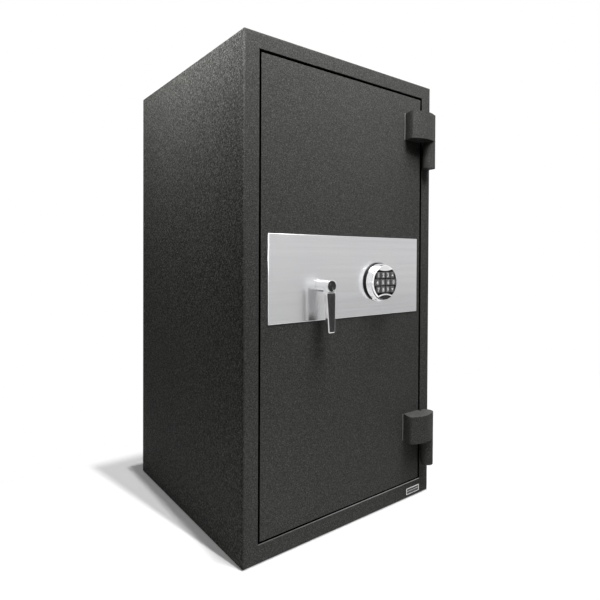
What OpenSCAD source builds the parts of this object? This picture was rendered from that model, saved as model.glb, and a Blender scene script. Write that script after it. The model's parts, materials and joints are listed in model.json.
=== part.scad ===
// Composite burglary safe: a filled steel body with one hinged door, a lever handle that throws
// four bolts, and a round electronic keypad. X runs to the hinge side, Y to the back and Z up.
// The origin is the middle of the body's footprint, on the floor.

/* [Body] */
// Width of the body
body_w = 677; // [640:1:760]
// Depth of the body, without handle and hinges
body_d = 661; // [600:1:720]
// Height of the body
body_h = 1265; // [1150:5:1400]
// Thickness of the outer steel shell
shell_t = 4; // [3:0.5:5]
// Bend radius of the shell's outer edges
edge_r = 7; // [5:0.5:9]
// Side wall, from the shell's face to the inside
side_wall = 65.5; // [62:0.5:72]
// Floor and ceiling, from the shell's face to the inside
floor_wall = 60; // [59:1:66]
// Back wall, from the shell's face to the inside
back_wall = 65; // [60:1:80]
// Steel of the inner liner
liner_t = 2; // [1.5:0.5:3]
// How far the back plate is set in
back_inset = 2; // [1:0.5:4]

/* [Doorway] */
// Front face beside the doorway
stile_w = 44; // [43:0.5:47]
// Front face above the doorway
head_h = 42; // [42:0.5:47]
// Front face below the doorway
sill_h = 48; // [45:0.5:52]
// Gap round the door plate
door_gap = 4; // [3:0.5:5]
// Depth of the rebate that the door plate sits in
rebate_d = 16; // [15.5:0.5:18]
// How far the strike lip stands into the doorway
lip_reach = 13.5; // [12:0.5:15]
// How much the lip opens out towards the back
lip_taper = 5; // [3:0.5:7]
// Depth of the strike lip, front to back
lip_d = 44; // [40:1:45]
// Steel of the lip outside the bolt pocket
lip_back = 4; // [3:0.5:5]
// Depth of the pocket behind the lip
pocket_d = 36; // [36:1:39]
// How far the pocket reaches past the doorway
pocket_reach = 5.5; // [4:0.5:7]
// Sheet of the bolt channel
channel_t = 2; // [1.5:0.5:2.5]
// Thickness of the fire seal
seal_t = 3; // [2:0.5:3]
// Width of the fire seal
seal_w = 9; // [6:0.5:10]

/* [Door] */
// Thickness of the door plate
plate_t = 12; // [10:0.5:12.5]
// Thickness of the barrier slab behind the plate
core_t = 42; // [40:1:43]
// Sheet of the door pan
pan_t = 2; // [1.5:0.5:2]
// Depth of the boltwork space
works_d = 44; // [44:1:47]
// Sheet of the boltwork frame
works_t = 3; // [2.5:0.5:4]
// Sheet of the rear cover
cover_t = 2; // [1.5:0.5:2.5]
// Room beside the door's inner part on the opening side
swing_room = 17; // [16:0.5:20]
// Room beside the door's inner part on the hinge side
hinge_room = 13; // [12:0.5:16]
// Room above and below the door's inner part
plug_room = 6; // [4:0.5:8]
// Thickness of the hard plate over the lock
hard_t = 6; // [4:0.5:8]
// Side of the square hard plate
hard_w = 120; // [100:2:140]

/* [Fascia] */
// Thickness of the brushed band
fascia_t = 2; // [1.5:0.5:3]
// Height of the brushed band
fascia_h = 221; // [200:1:240]
// Height of the band's lower edge above the door's
fascia_rise = 518; // [480:1:560]
// Door left bare beside the band, opening side
fascia_left = 20.5; // [15:0.5:30]
// Door left bare beside the band, hinge side
fascia_right = 15; // [10:0.5:25]

/* [Handle and bolts] */
// Handle axis from the band's left end
handle_in = 162; // [155:1:170]
// Handle axis above the band's lower edge
handle_rise = 91; // [85:1:100]
// Radius of the handle's barrel
barrel_r = 16.5; // [15:0.5:18]
// How far the barrel stands off the door
barrel_p = 48; // [46:0.5:52]
// Length of the lever below the axis
lever_l = 120; // [100:1:135]
// Width of the lever's blade halfway down
lever_mid_w = 27; // [25:0.5:29]
// Width of the lever's blade at its tip
lever_tip_w = 21; // [16:0.5:23]
// Thickness of the lever's blade
lever_t = 11.5; // [9:0.5:14]
// How far the blade's tip leans outwards
lever_lean = 5; // [0:0.5:6]
// Radius of the spindle
spindle_r = 8; // [7:0.5:9]
// Wall of the spindle's bush
bush_t = 4; // [3:0.5:5]
// Turn of the handle from bolts in to bolts out
handle_turn = 75; // [70:1:80]
// Travel of the locking bolts
bolt_throw = 28; // [26:0.5:30]
// Radius of the locking bolts
bolt_r = 16; // [14:0.5:16]
// Number of locking bolts
bolt_count = 4; // [3:1:5]
// First and last bolt from the ends of the door's inner part
bolt_margin = 160; // [120:1:180]
// Radius of the crank disc
crank_disc_r = 32; // [31:0.5:34]
// Radius of the crank pin
crank_pin_r = 6; // [5:0.5:7]
// Thickness of the bolt bar, left to right
bar_t = 10; // [8:0.5:12]
// Running clearance of round moving parts
run_clear = 0.05; // [0.03:0.01:0.08]

/* [Keypad] */
// Keypad axis from the band's right end
keypad_in = 170.5; // [160:0.5:180]
// Keypad axis above the band's lower edge
keypad_rise = 94; // [85:1:105]
// Radius of the keypad's base ring
base_r = 55; // [54:0.5:58]
// Radius of the chrome housing
dome_r = 53.5; // [52:0.5:54]
// Height of the housing's front face above the door
dome_p = 31; // [30.5:0.5:34]
// Height of the housing's foot above the door
dome_foot_p = 7.5; // [7:0.5:9]
// Rounding of the housing's front edge
dome_round = 7.5; // [6.5:0.5:8.5]
// Wall of the housing
dome_t = 2.2; // [1.8:0.1:2.6]
// Height of the pad's top edge above the keypad's axis
pad_top = 36.5; // [35:0.5:38]
// Height of a row of keys
key_pitch_z = 20.2; // [18:0.1:20.5]
// Gap between two keys
key_gap = 2; // [1.5:0.1:3]
// Travel of a key
key_travel = 1; // [0.8:0.1:1.2]
// How far a key stands out of the pad
key_proud = 1.2; // [1:0.1:1.6]

/* [Lock] */
// Width of the lock case
lock_w = 61; // [55:1:66]
// Height of the lock case
lock_h = 85; // [80:1:95]
// Thickness of the lock case
lock_t = 30; // [28:1:32]
// Width of the lock bolt
lock_bolt_w = 12; // [10:0.5:13]
// Travel of the lock bolt
lock_travel = 9; // [8:0.5:10]

/* [Hinges] */
// Pin axis beyond the door plate's edge
pin_out = 9.5; // [9:0.5:10.5]
// Pin axis in front of the door's face
pin_p = 26; // [25:0.5:28]
// Radius of the hinge barrel
knuckle_r = 18; // [17:0.5:19]
// Radius of the hinge pin
pin_r = 8; // [7:0.5:9]
// Height of the door's hinge block
block_h = 80; // [70:1:90]
// Height of the body's knuckle
knuckle_h = 79; // [70:1:90]
// Thrust washer between the two
washer_t = 1; // [0.8:0.1:1.5]
// Reach of the hinge block from the pin to its free corner
block_reach = 88; // [80:1:95]
// Radius of the block's bowed front
block_bow_r = 88; // [84:1:110]
// Thickness of the plate under the hinge block
hinge_plate_t = 2.5; // [2:0.5:4]
// Lower hinge from the foot of the door
hinge_end = 52; // [40:1:70]
// Upper hinge from the top of the door
hinge_end_top = 54; // [40:1:70]
// Rounding of the hinge block's free corner
block_round = 6; // [3:0.5:8]

/* [Inside] */
// Number of shelves
shelf_count = 3; // [1:1:4]
// Room between the closed door and a shelf
shelf_front = 30; // [28:1:80]
// Room between a shelf and the back
shelf_back = 9; // [3:1:60]
// Height of a shelf's folded rim
shelf_rim = 20; // [15:1:30]
// Sheet of a shelf
shelf_t = 1.5; // [1:0.5:2.5]
// Thickness of a shelf standard
standard_t = 3; // [2:0.5:4]
// Width of a shelf standard
standard_w = 18; // [16:1:24]
// Pitch of the slots in a standard
slot_pitch = 25; // [25:1:40]
// Height of a slot
slot_h = 10; // [8:1:12]
// Width of a slot
slot_w = 6; // [5:0.5:7]
// Radius of an anchor hole
anchor_r = 8; // [6:0.5:9]
// Wall of an anchor sleeve
anchor_t = 3; // [2:0.5:4]
// Anchor holes apart, left to right
anchor_dx = 400; // [300:10:420]
// Anchor holes apart, front to back
anchor_dy = 340; // [280:10:360]

/* [Hidden] */
$fn = 64;
EPS = 0.01;
BIG = 2000;

// the body
half_w = body_w / 2;
front_y = -body_d / 2;
open_x = half_w - stile_w;
open_z0 = sill_h;
open_z1 = body_h - head_h;
in_x = half_w - side_wall;
in_z0 = floor_wall;
in_z1 = body_h - floor_wall;
in_back = body_d - back_wall;
liner_seam = 0.2;
lip_d1 = rebate_d + lip_d;
pocket_d1 = lip_d1 + pocket_d;
back_plate_d0 = body_d - back_inset - shell_t;

// the door
door_x = open_x - door_gap;
door_z0 = open_z0 + door_gap;
door_z1 = open_z1 - door_gap;
plug_x0 = -(open_x - lip_reach - swing_room);
plug_x1 = open_x - lip_reach - hinge_room;
plug_z0 = in_z0 + plug_room;
plug_z1 = in_z1 - plug_room;
core_d1 = plate_t + core_t;
pan_d1 = core_d1 + pan_t;
works_d1 = pan_d1 + works_d;
cover_d1 = works_d1 + cover_t;

// the band and what sits on it
fascia_x0 = -door_x + fascia_left;
fascia_x1 = door_x - fascia_right;
fascia_z0 = door_z0 + fascia_rise;
handle_x = fascia_x0 + handle_in;
handle_z = fascia_z0 + handle_rise;
keypad_x = fascia_x1 - keypad_in;
keypad_z = fascia_z0 + keypad_rise;

// the handle and the crank: the pin swings evenly to both sides of straight down
lever_gap = 1;
lever_front_p = barrel_p - 3;
cap_r = barrel_r - 3;
cap_t = 1.2;
cap_recess = 2.5;
spindle_front_p = barrel_p - 8;
crank_t = 8;
crank_d0 = pan_d1 + 2;
crank_d1 = crank_d0 + crank_t;
crank_r = bolt_throw / (2 * sin(handle_turn / 2));
crank_pin_x = handle_x + bolt_throw / 2;
crank_pin_z = handle_z - crank_r * cos(handle_turn / 2);
slot_side = 0.8;
slot_end = 1.5;

// the carriage: a bar behind the bolts with an arm to the crank and the lock
arm_d0 = crank_d1 + 4;
arm_t = 6;
bar_gap = 8;
bar_x1 = handle_x - crank_disc_r - bar_gap;
bar_x0 = bar_x1 - bar_t;
bolt_d = pan_d1 + 22;
bolt_z0 = plug_z0 + bolt_margin;
bolt_pitch = (plug_z1 - plug_z0 - 2 * bolt_margin) / (bolt_count - 1);
function bolt_z(i) = bolt_z0 + i * bolt_pitch;
bolt_nose = 2.5;
bar_over = 28;
bar_z0 = bolt_z0 - bar_over;
bar_z1 = bolt_z(bolt_count - 1) + bar_over;
bolt_screw_r = 5;
bolt_screw_l = 20;
bolt_head_r = 8.5;
bolt_head_t = 5.5;
bolt_head_room = 1;
guide_t = 6;
guide_foot = 20;
guide_foot_t = 3;
guide_room = 20;
guide_x1 = bar_x0 - bolt_throw - guide_room;
guide_x0 = guide_x1 - guide_t;

// the lock: its bolt rises beside the lug on the carriage's arm
lock_z1 = keypad_z + 11;
lock_z0 = lock_z1 - lock_h;
lock_bolt_d0 = pan_d1 + 7;
lock_bolt_t = 16;
lock_bolt_l = lock_travel + 22;
lock_slide = 0.2;
lock_tip = 1;
lug_w = 10;
lug_above = 3.5;
lug_side = 0.5;
lug_x1 = keypad_x - lock_bolt_w / 2 - lug_side + bolt_throw;
lug_x0 = lug_x1 - lug_w;
arm_z0 = crank_pin_z - crank_pin_r - 20;
arm_rail_z0 = lock_z1 + 19;
arm_z1 = arm_rail_z0 + 18;
arm_x1 = lug_x1 + 8;
arm_web_x1 = crank_pin_x + crank_pin_r + 13;

// the keypad, with heights above the door's face
base_floor = 2.5;
base_p1 = dome_foot_p;
base_wall = 5;
base_p0 = fascia_t;
seat_r = 72.5;
seat_z = -104;
seat_gap = 0.3;
lens_edge = 4.2;
lens_r = dome_r - dome_round / 2;
lens_depth = 0.6;
drawer_side = 27;
drawer_slide = 0.4;
drawer_rest = 0.2;
pad_t = 3;
board_t = 1.6;
key_foot = key_travel + 0.2;
board_p1 = dome_p - pad_t - key_foot - 1.2;
board_p0 = board_p1 - board_t;
tray_p0 = base_p0 + base_floor + 0.2;
tray_t = 1.2;
battery_w = 48.5;
battery_h = 26.5;
battery_t = 17.5;
battery_z0 = -41.5;
cable_r = 2;
cable_hole_r = 6;
key_side = 0.4;
key_row_w = [18.6, 21.9, 18.6];
key_rows = 3;
key_cols = 4;
key_names = [["key_1", "key_2", "key_3", "key_up"],
             ["key_4", "key_5", "key_6", "key_0"],
             ["key_7", "key_8", "key_9", "key_down"]];
screw_r = 2.5;
screw_head_r = 4.5;
screw_head_t = 2.5;
keypad_screw = [22, 24];
post_r = 3;
posts = [[-34, 10], [34, 10], [0, 28]];
pad_dip = 4.2;

// the hinges
pin_x = door_x + pin_out;
hinge_low_z = door_z0 + hinge_end - 1;
hinge_high_z = door_z1 - hinge_end_top - block_h - washer_t - knuckle_h;
block_cap = 8;
block_left = pin_x - block_reach;
block_left_p = pin_p + 10.6;

// the inside
shelf_gap = 1.5;
shelf_front_d = cover_d1 + shelf_front;
shelf_d = in_back - shelf_back - shelf_front_d;
shelf_w = 2 * (in_x - standard_t - shelf_gap);
standard_end = 30;
slot_count = floor((in_z1 - in_z0 - 2 * standard_end - slot_pitch) / slot_pitch);
standard_inset = 60;
function slot_z(k) = in_z0 + standard_end + slot_pitch / 2 + k * slot_pitch;
shelf_room = (in_z1 - in_z0 - shelf_count * shelf_rim) / (shelf_count + 1);
function shelf_want(i) = in_z0 + (i + 1) * shelf_room + i * shelf_rim;
function shelf_slot(i) = round((shelf_want(i) - slot_h / 2 - slot_z(0)) / slot_pitch);
function shelf_z(i) = slot_z(shelf_slot(i)) + slot_h / 2;
clip_reach = 14;
clip_w = 12;
clip_h = 8;
anchor_y = 20;

// the fire seal and the rear cover's lugs
seal_in = 1.5;
frame_seam = 0.2;
cover_lug = 16;
cover_lug_d = 16;
cover_lug_z = concat([plug_z0 + works_t + cover_lug / 2],
                     [for (i = [0 : bolt_count - 2]) (bolt_z(i) + bolt_z(i + 1)) / 2],
                     [plug_z1 - works_t - cover_lug / 2]);
cover_lug_x = [plug_x0 + works_t + cover_lug / 2, plug_x1 - works_t - cover_lug / 2];

// the rating plate, which carries no words
rating_w = 58;
rating_h = 19;
rating_t = 0.8;
rating_z = 11.5;

// A box by its left and right, its depths behind the door's face, and its heights
module slab(x0, x1, d0, d1, z0, z1) {
    translate([x0, front_y + d0, z0]) cube([x1 - x0, d1 - d0, z1 - z0]);
}

// A shape drawn in the front view, from depth d0 to depth d1
module from_front(d0, d1) {
    translate([0, front_y + d1, 0]) rotate([90, 0, 0]) linear_extrude(d1 - d0) children();
}

// A shape drawn in the plan view, from height z0 to height z1, with depth as its second axis
module from_top(z0, z1) {
    translate([0, front_y, z0]) linear_extrude(z1 - z0) children();
}

// A shape drawn in the side view, depth first, from x0 to x1
module from_side(x0, x1) {
    translate([x0, front_y, 0]) rotate([90, 0, 90]) linear_extrude(x1 - x0) children();
}

// A round bar or hole that runs front to back
module rod_y(x, z, d0, d1, r) {
    translate([x, front_y + d0, z]) rotate([-90, 0, 0]) cylinder(h = d1 - d0, r = r);
}

// A rectangle with round corners: the radius is given for both lower and both upper corners
module round_rect(x0, x1, y0, y1, low_r, high_r) {
    low = max(low_r, EPS);
    high = max(high_r, EPS);
    polygon([[x0 + low, y0], [x1 - low, y0], [x1, y0 + low], [x1, y1 - high],
             [x1 - high, y1], [x0 + high, y1], [x0, y1 - high], [x0, y0 + low]]);
    if (low_r > 0) for (x = [x0 + low, x1 - low]) translate([x, y0 + low]) circle(low);
    if (high_r > 0) for (x = [x0 + high, x1 - high]) translate([x, y1 - high]) circle(high);
}

// The doorway grown by a margin, as a box from depth d0 to depth d1
module doorway(grow, d0, d1) {
    slab(-open_x - grow, open_x + grow, d0, d1, open_z0 - grow, open_z1 + grow);
}

// The inside of the liner grown by a margin
module inside(grow, d0, d1) {
    slab(-in_x - grow, in_x + grow, d0, d1, in_z0 - grow, in_z1 + grow);
}

module at_anchors() {
    for (x = [-1, 1], y = [-1, 1])
        translate([x * anchor_dx / 2, anchor_y + y * anchor_dy / 2, 0]) children();
}

module anchor_bore(r) {
    at_anchors() translate([0, 0, -1]) cylinder(h = floor_wall + 2, r = r);
}

module outer_shell() {
    color("dimgray") difference() {
        intersection() {
            from_front(0, body_d) round_rect(-half_w, half_w, 0, body_h, edge_r, edge_r);
            from_top(0, body_h) round_rect(-half_w, half_w, 0, body_d, edge_r, 0);
            from_side(-half_w, half_w) rotate(-90) mirror([1, 0])
                round_rect(0, body_h, 0, body_d, edge_r, 0);
        }
        slab(-half_w + shell_t, half_w - shell_t, shell_t, body_d + 1, shell_t, body_h - shell_t);
        doorway(0, -1, shell_t + 1);
        anchor_bore(anchor_r);
    }
}

module back_plate() {
    color("dimgray")
        slab(-half_w + shell_t, half_w - shell_t, back_plate_d0, back_plate_d0 + shell_t,
             shell_t, body_h - shell_t);
}

// The space inside the strike lip, which opens out towards the back
module lip_space() {
    lip = open_x - lip_reach;
    z0 = open_z0 + lip_reach;
    z1 = open_z1 - lip_reach;
    intersection() {
        from_top(0, body_h)
            polygon([[-lip, rebate_d - EPS], [lip, rebate_d - EPS],
                     [lip + lip_taper, lip_d1 + EPS], [-lip - lip_taper, lip_d1 + EPS]]);
        from_side(-half_w, half_w)
            polygon([[rebate_d - EPS, z0], [lip_d1 + EPS, z0 - lip_taper],
                     [lip_d1 + EPS, z1 + lip_taper], [rebate_d - EPS, z1]]);
    }
}

module front_frame() {
    color("gray") difference() {
        union() {
            slab(-half_w + shell_t, half_w - shell_t, shell_t, rebate_d, shell_t, body_h - shell_t);
            doorway(pocket_reach + lip_back, rebate_d, lip_d1);
        }
        doorway(0, shell_t - 1, rebate_d);
        lip_space();
    }
}

module bolt_channel() {
    color("gray") difference() {
        doorway(pocket_reach + channel_t, lip_d1, pocket_d1 + channel_t);
        doorway(pocket_reach, lip_d1 - 1, pocket_d1);
        inside(liner_t, lip_d1, pocket_d1 + channel_t + 1);
    }
}

// Five sheets, tacked together along their edges
module inner_liner() {
    out_x = in_x + liner_t;
    back_d = in_back + liner_t;
    color("lightgray") {
        difference() {
            slab(-out_x, out_x, pocket_d1, back_d, in_z0 - liner_t, in_z0);
            anchor_bore(anchor_r);
        }
        slab(-out_x, out_x, pocket_d1, back_d, in_z1, in_z1 + liner_t);
        for (x = [-out_x, in_x])
            slab(x, x + liner_t, pocket_d1, back_d, in_z0 + liner_seam, in_z1 - liner_seam);
        slab(-in_x + liner_seam, in_x - liner_seam, in_back, back_d, in_z0 + liner_seam, in_z1 - liner_seam);
    }
}

module barrier_fill() {
    color("tan") difference() {
        slab(-half_w + shell_t, half_w - shell_t, rebate_d, back_plate_d0, shell_t, body_h - shell_t);
        doorway(pocket_reach + lip_back, rebate_d - 1, lip_d1);
        doorway(pocket_reach + channel_t, lip_d1 - EPS, pocket_d1 + channel_t);
        inside(liner_t, pocket_d1, in_back + liner_t);
        anchor_bore(anchor_r + anchor_t);
    }
}

module fire_seal() {
    outer = -seal_in;
    color("black") difference() {
        doorway(outer, rebate_d - seal_t, rebate_d);
        doorway(outer - seal_w, rebate_d - seal_t - 1, rebate_d + 1);
    }
}

module anchor_sleeves() {
    color("silver") at_anchors() translate([0, 0, shell_t]) difference() {
        cylinder(h = floor_wall - liner_t - shell_t, r = anchor_r + anchor_t);
        translate([0, 0, -1]) cylinder(h = floor_wall, r = anchor_r);
    }
}

// Runs its children once at each shelf standard, with the standard's back at x = 0 and +X inwards
module at_standards() {
    for (side = [-1, 1], end = [0, 1])
        translate([side * in_x,
                   front_y + shelf_front_d + (end ? shelf_d - standard_inset : standard_inset), 0])
            mirror([side > 0 ? 1 : 0, 0, 0]) children();
}

module shelf_standards() {
    color("silver") at_standards() rotate([90, 0, 90]) linear_extrude(standard_t) difference() {
        translate([-standard_w / 2, in_z0 + standard_end])
            square([standard_w, in_z1 - in_z0 - 2 * standard_end]);
        for (k = [0 : slot_count - 1])
            translate([-slot_w / 2, slot_z(k) - slot_h / 2]) square([slot_w, slot_h]);
    }
}

module shelf_clips() {
    tongue_w = slot_w - 1;
    color("silver") at_standards() for (i = [0 : shelf_count - 1]) translate([0, 0, shelf_z(i)]) {
        translate([standard_t, -clip_w / 2, -clip_h]) cube([clip_reach, clip_w, clip_h]);
        translate([0, -tongue_w / 2, -clip_h]) cube([standard_t + EPS, tongue_w, clip_h - 1]);
    }
}

module shelves() {
    d1 = shelf_front_d + shelf_d;
    color("gray") for (i = [0 : shelf_count - 1]) difference() {
        slab(-shelf_w / 2, shelf_w / 2, shelf_front_d, d1, shelf_z(i), shelf_z(i) + shelf_rim);
        slab(-shelf_w / 2 + shelf_t, shelf_w / 2 - shelf_t, shelf_front_d + shelf_t, d1 - shelf_t,
             shelf_z(i) - 1, shelf_z(i) + shelf_rim - shelf_t);
    }
}

// The body's half of a hinge: a barrel on a web that stands on the front face
module hinge_knuckle(z0) {
    color("dimgray") difference() {
        union() {
            translate([pin_x, front_y - pin_p, z0]) cylinder(h = knuckle_h, r = knuckle_r);
            translate([0, front_y, z0]) mirror([0, 1]) linear_extrude(knuckle_h)
                polygon([[open_x + 7.5, 0], [open_x + 5.5, pin_p - 12], [pin_x, pin_p],
                         [pin_x + knuckle_r - 1.5, pin_p - 8], [half_w - 11, 0]]);
        }
        translate([pin_x, front_y - pin_p, z0 - 1]) cylinder(h = knuckle_h + 2, r = pin_r);
    }
}

function arc_centre(a, b, r) =
    let (m = (a + b) / 2, h = norm(b - a) / 2, n = [b[1] - a[1], a[0] - b[0]] / (2 * h))
    m + n * sqrt(r * r - h * h);

module hinge_block_outline(corner, bow) {
    intersection() {
        polygon([[block_left + 9, hinge_plate_t], [block_left + 1, block_left_p - 12],
                 corner, [block_left, 4 * pin_p], [pin_x, 4 * pin_p], [pin_x, pin_p],
                 [door_x - 7, pin_p - 14], [door_x - 3.5, hinge_plate_t]]);
        translate(bow) circle(block_bow_r, $fn = 128);
    }
}

// The door's half of a hinge: a bowed block on a plate, with a blind bore for the pin
module hinge_block(z0) {
    corner = [block_left, block_left_p];
    bow = arc_centre(corner, [pin_x, pin_p + knuckle_r], block_bow_r);
    color("dimgray") difference() {
        union() {
            translate([pin_x, front_y - pin_p, z0]) cylinder(h = block_h, r = knuckle_r);
            translate([0, front_y, z0]) mirror([0, 1]) linear_extrude(block_h) {
                intersection() {
                    hinge_block_outline(corner, bow);
                    offset(r = block_round, $fn = 48) offset(delta = -block_round)
                        hinge_block_outline(corner, bow);
                    translate([block_left, 4]) square([block_reach / 2, 4 * pin_p]);
                }
                difference() {
                    hinge_block_outline(corner, bow);
                    translate([block_left - 1, 4]) square([block_reach / 2 + 1 - EPS, 4 * pin_p]);
                }
            }
        }
        translate([pin_x, front_y - pin_p, z0 - 1])
            cylinder(h = block_h - block_cap + 1, r = pin_r + run_clear);
    }
}

module hinge_knuckle_upper() { hinge_knuckle(hinge_high_z); }
module hinge_knuckle_lower() { hinge_knuckle(hinge_low_z); }
module hinge_block_upper() { hinge_block(hinge_high_z + knuckle_h + washer_t); }
module hinge_block_lower() { hinge_block(hinge_low_z + knuckle_h + washer_t); }

module hinge_plates() {
    color("gray") for (z = [hinge_low_z, hinge_high_z])
        slab(block_left + 4.5, door_x - 3.5, -hinge_plate_t, 0,
             z + knuckle_h + washer_t, z + knuckle_h + washer_t + block_h);
}

module hinge_pins() {
    color("silver") for (z = [hinge_low_z, hinge_high_z])
        translate([pin_x, front_y - pin_p, z])
            cylinder(h = knuckle_h + washer_t + block_h - block_cap - 2, r = pin_r);
}

module hinge_washers() {
    color("goldenrod") for (z = [hinge_low_z, hinge_high_z])
        translate([pin_x, front_y - pin_p, z + knuckle_h]) difference() {
            cylinder(h = washer_t, r = knuckle_r - 3);
            translate([0, 0, -1]) cylinder(h = washer_t + 2, r = pin_r + run_clear);
        }
}

module rating_plate() {
    color("silver")
        slab(open_x - rating_w, open_x, -rating_t, 0, rating_z, rating_z + rating_h);
}

// The holes that the handle's bush and the keypad's cable need
module door_holes(d0, d1) {
    rod_y(handle_x, handle_z, d0, d1, spindle_r + bush_t);
    rod_y(keypad_x, keypad_z, d0, d1, cable_hole_r);
}

module at_keypad_screws(d0, d1, r) {
    for (side = [-1, 1])
        rod_y(keypad_x + side * keypad_screw[0], keypad_z + keypad_screw[1], d0, d1, r);
}

module at_lock_screws(d0, d1, r) {
    inset = 7;
    for (x = [-1, 1], z = [lock_z0 + inset, lock_z1 - inset])
        rod_y(keypad_x + x * (lock_w / 2 - inset), z, d0, d1, r);
}

module door_plate() {
    color("dimgray") difference() {
        slab(-door_x, door_x, 0, plate_t, door_z0, door_z1);
        door_holes(-1, plate_t + 1);
        at_keypad_screws(-1, plate_t - 2, screw_r);
    }
}

module door_pan() {
    color("gray") difference() {
        slab(plug_x0, plug_x1, plate_t, pan_d1, plug_z0, plug_z1);
        slab(plug_x0 + pan_t, plug_x1 - pan_t, plate_t - 1, core_d1, plug_z0 + pan_t, plug_z1 - pan_t);
        door_holes(plate_t, pan_d1 + 1);
        at_lock_screws(core_d1 - 1, pan_d1 + 1, screw_r);
    }
}

module hard_plate() {
    color("slategray") difference() {
        slab(keypad_x - hard_w / 2, keypad_x + hard_w / 2, core_d1 - hard_t, core_d1,
             lock_z0 - 10, lock_z0 - 10 + hard_w);
        door_holes(plate_t, pan_d1);
    }
}

module door_fill() {
    color("tan") difference() {
        slab(plug_x0 + pan_t, plug_x1 - pan_t, plate_t, core_d1, plug_z0 + pan_t, plug_z1 - pan_t);
        slab(keypad_x - hard_w / 2, keypad_x + hard_w / 2, core_d1 - hard_t, core_d1 + 1,
             lock_z0 - 10, lock_z0 - 10 + hard_w);
        door_holes(plate_t - 1, core_d1 + 1);
    }
}

module fascia_panel() {
    color("lightgray") difference() {
        slab(fascia_x0, fascia_x1, -fascia_t, 0, fascia_z0, fascia_z0 + fascia_h);
        door_holes(-fascia_t - 1, 1);
        at_keypad_screws(-fascia_t - 1, 1, screw_r);
    }
}

module at_bolts() {
    for (i = [0 : bolt_count - 1]) translate([0, front_y + bolt_d, bolt_z(i)]) children();
}

module bolt_bores(x0, x1) {
    at_bolts() translate([x0, 0, 0]) rotate([0, 90, 0]) cylinder(h = x1 - x0, r = bolt_r + run_clear);
}

// A frame of steel strips round the boltwork. The bolts run in notches of its left side, which the
// rear cover closes, and each of the cover's screws has a threaded lug
module bolt_frame() {
    side_x1 = plug_x0 + works_t;
    side_z0 = plug_z0 + works_t + frame_seam;
    side_z1 = plug_z1 - works_t - frame_seam;
    notch = bolt_r + run_clear;
    notch_d0 = bolt_d - notch;
    lug_room = cover_lug / 2 - frame_seam;
    color("gray") {
        for (z = [plug_z0, plug_z1 - works_t])
            slab(plug_x0, plug_x1, pan_d1, works_d1, z, z + works_t);
        slab(plug_x1 - works_t, plug_x1, pan_d1, works_d1, side_z0, side_z1);
        slab(plug_x0, side_x1, pan_d1, notch_d0, side_z0, side_z1);
        for (i = [0 : bolt_count])
            slab(plug_x0, side_x1, notch_d0 + frame_seam, works_d1,
                 i == 0 ? side_z0 : bolt_z(i - 1) + notch,
                 i == bolt_count ? side_z1 : bolt_z(i) - notch);
        for (x = cover_lug_x, z = cover_lug_z) difference() {
            slab(x - lug_room, x + lug_room, works_d1 - cover_lug_d, works_d1, z - lug_room, z + lug_room);
            rod_y(x, z, works_d1 - cover_lug_d - 1, works_d1 + 1, screw_r);
        }
    }
}

module bolt_guide_rail() {
    color("gray") difference() {
        union() {
            slab(guide_x0, guide_x1, pan_d1, works_d1 - 2, bar_z0, bar_z1);
            slab(guide_x0, guide_x0 + guide_foot, pan_d1, pan_d1 + guide_foot_t, bar_z0, bar_z1);
        }
        bolt_bores(guide_x0 - 1, guide_x1 + 1);
    }
}

module dead_bar() {
    reach = pocket_reach + open_x - 10;
    color("silver")
        slab(plug_x1, reach, lip_d1 + 6, pocket_d1 - 6, bar_z0 - 60, bar_z1 + 60);
}

module rear_cover() {
    color("dimgray") difference() {
        slab(plug_x0, plug_x1, works_d1, cover_d1, plug_z0, plug_z1);
        for (x = cover_lug_x, z = cover_lug_z) rod_y(x, z, works_d1 - 1, cover_d1 + 1, screw_r);
    }
}

module cover_screws() {
    color("silver") for (x = cover_lug_x, z = cover_lug_z) {
        rod_y(x, z, cover_d1 - 12, cover_d1, screw_r);
        rod_y(x, z, cover_d1, cover_d1 + screw_head_t, screw_head_r);
    }
}

module lock_case() {
    half_bolt = lock_bolt_w / 2 + lock_slide;
    color("slategray") difference() {
        slab(keypad_x - lock_w / 2, keypad_x + lock_w / 2, pan_d1, pan_d1 + lock_t, lock_z0, lock_z1);
        slab(keypad_x - half_bolt, keypad_x + half_bolt, lock_bolt_d0 - lock_slide,
             lock_bolt_d0 + lock_bolt_t + lock_slide, lock_z1 + lock_tip - lock_bolt_l - 4, lock_z1 + 1);
        at_lock_screws(pan_d1 - 1, pan_d1 + lock_t + 1, screw_r);
    }
}

module lock_screws() {
    color("silver") {
        at_lock_screws(core_d1, pan_d1 + lock_t, screw_r);
        at_lock_screws(pan_d1 + lock_t, pan_d1 + lock_t + screw_head_t, screw_head_r);
    }
}

module lock_bolt() {
    color("goldenrod")
        slab(keypad_x - lock_bolt_w / 2, keypad_x + lock_bolt_w / 2, lock_bolt_d0,
             lock_bolt_d0 + lock_bolt_t, lock_z1 + lock_tip - lock_bolt_l, lock_z1 + lock_tip);
}

module handle_bush() {
    color("goldenrod") difference() {
        rod_y(handle_x, handle_z, -fascia_t, pan_d1, spindle_r + bush_t);
        rod_y(handle_x, handle_z, -fascia_t - 1, pan_d1 + 1, spindle_r + run_clear);
    }
}

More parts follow.
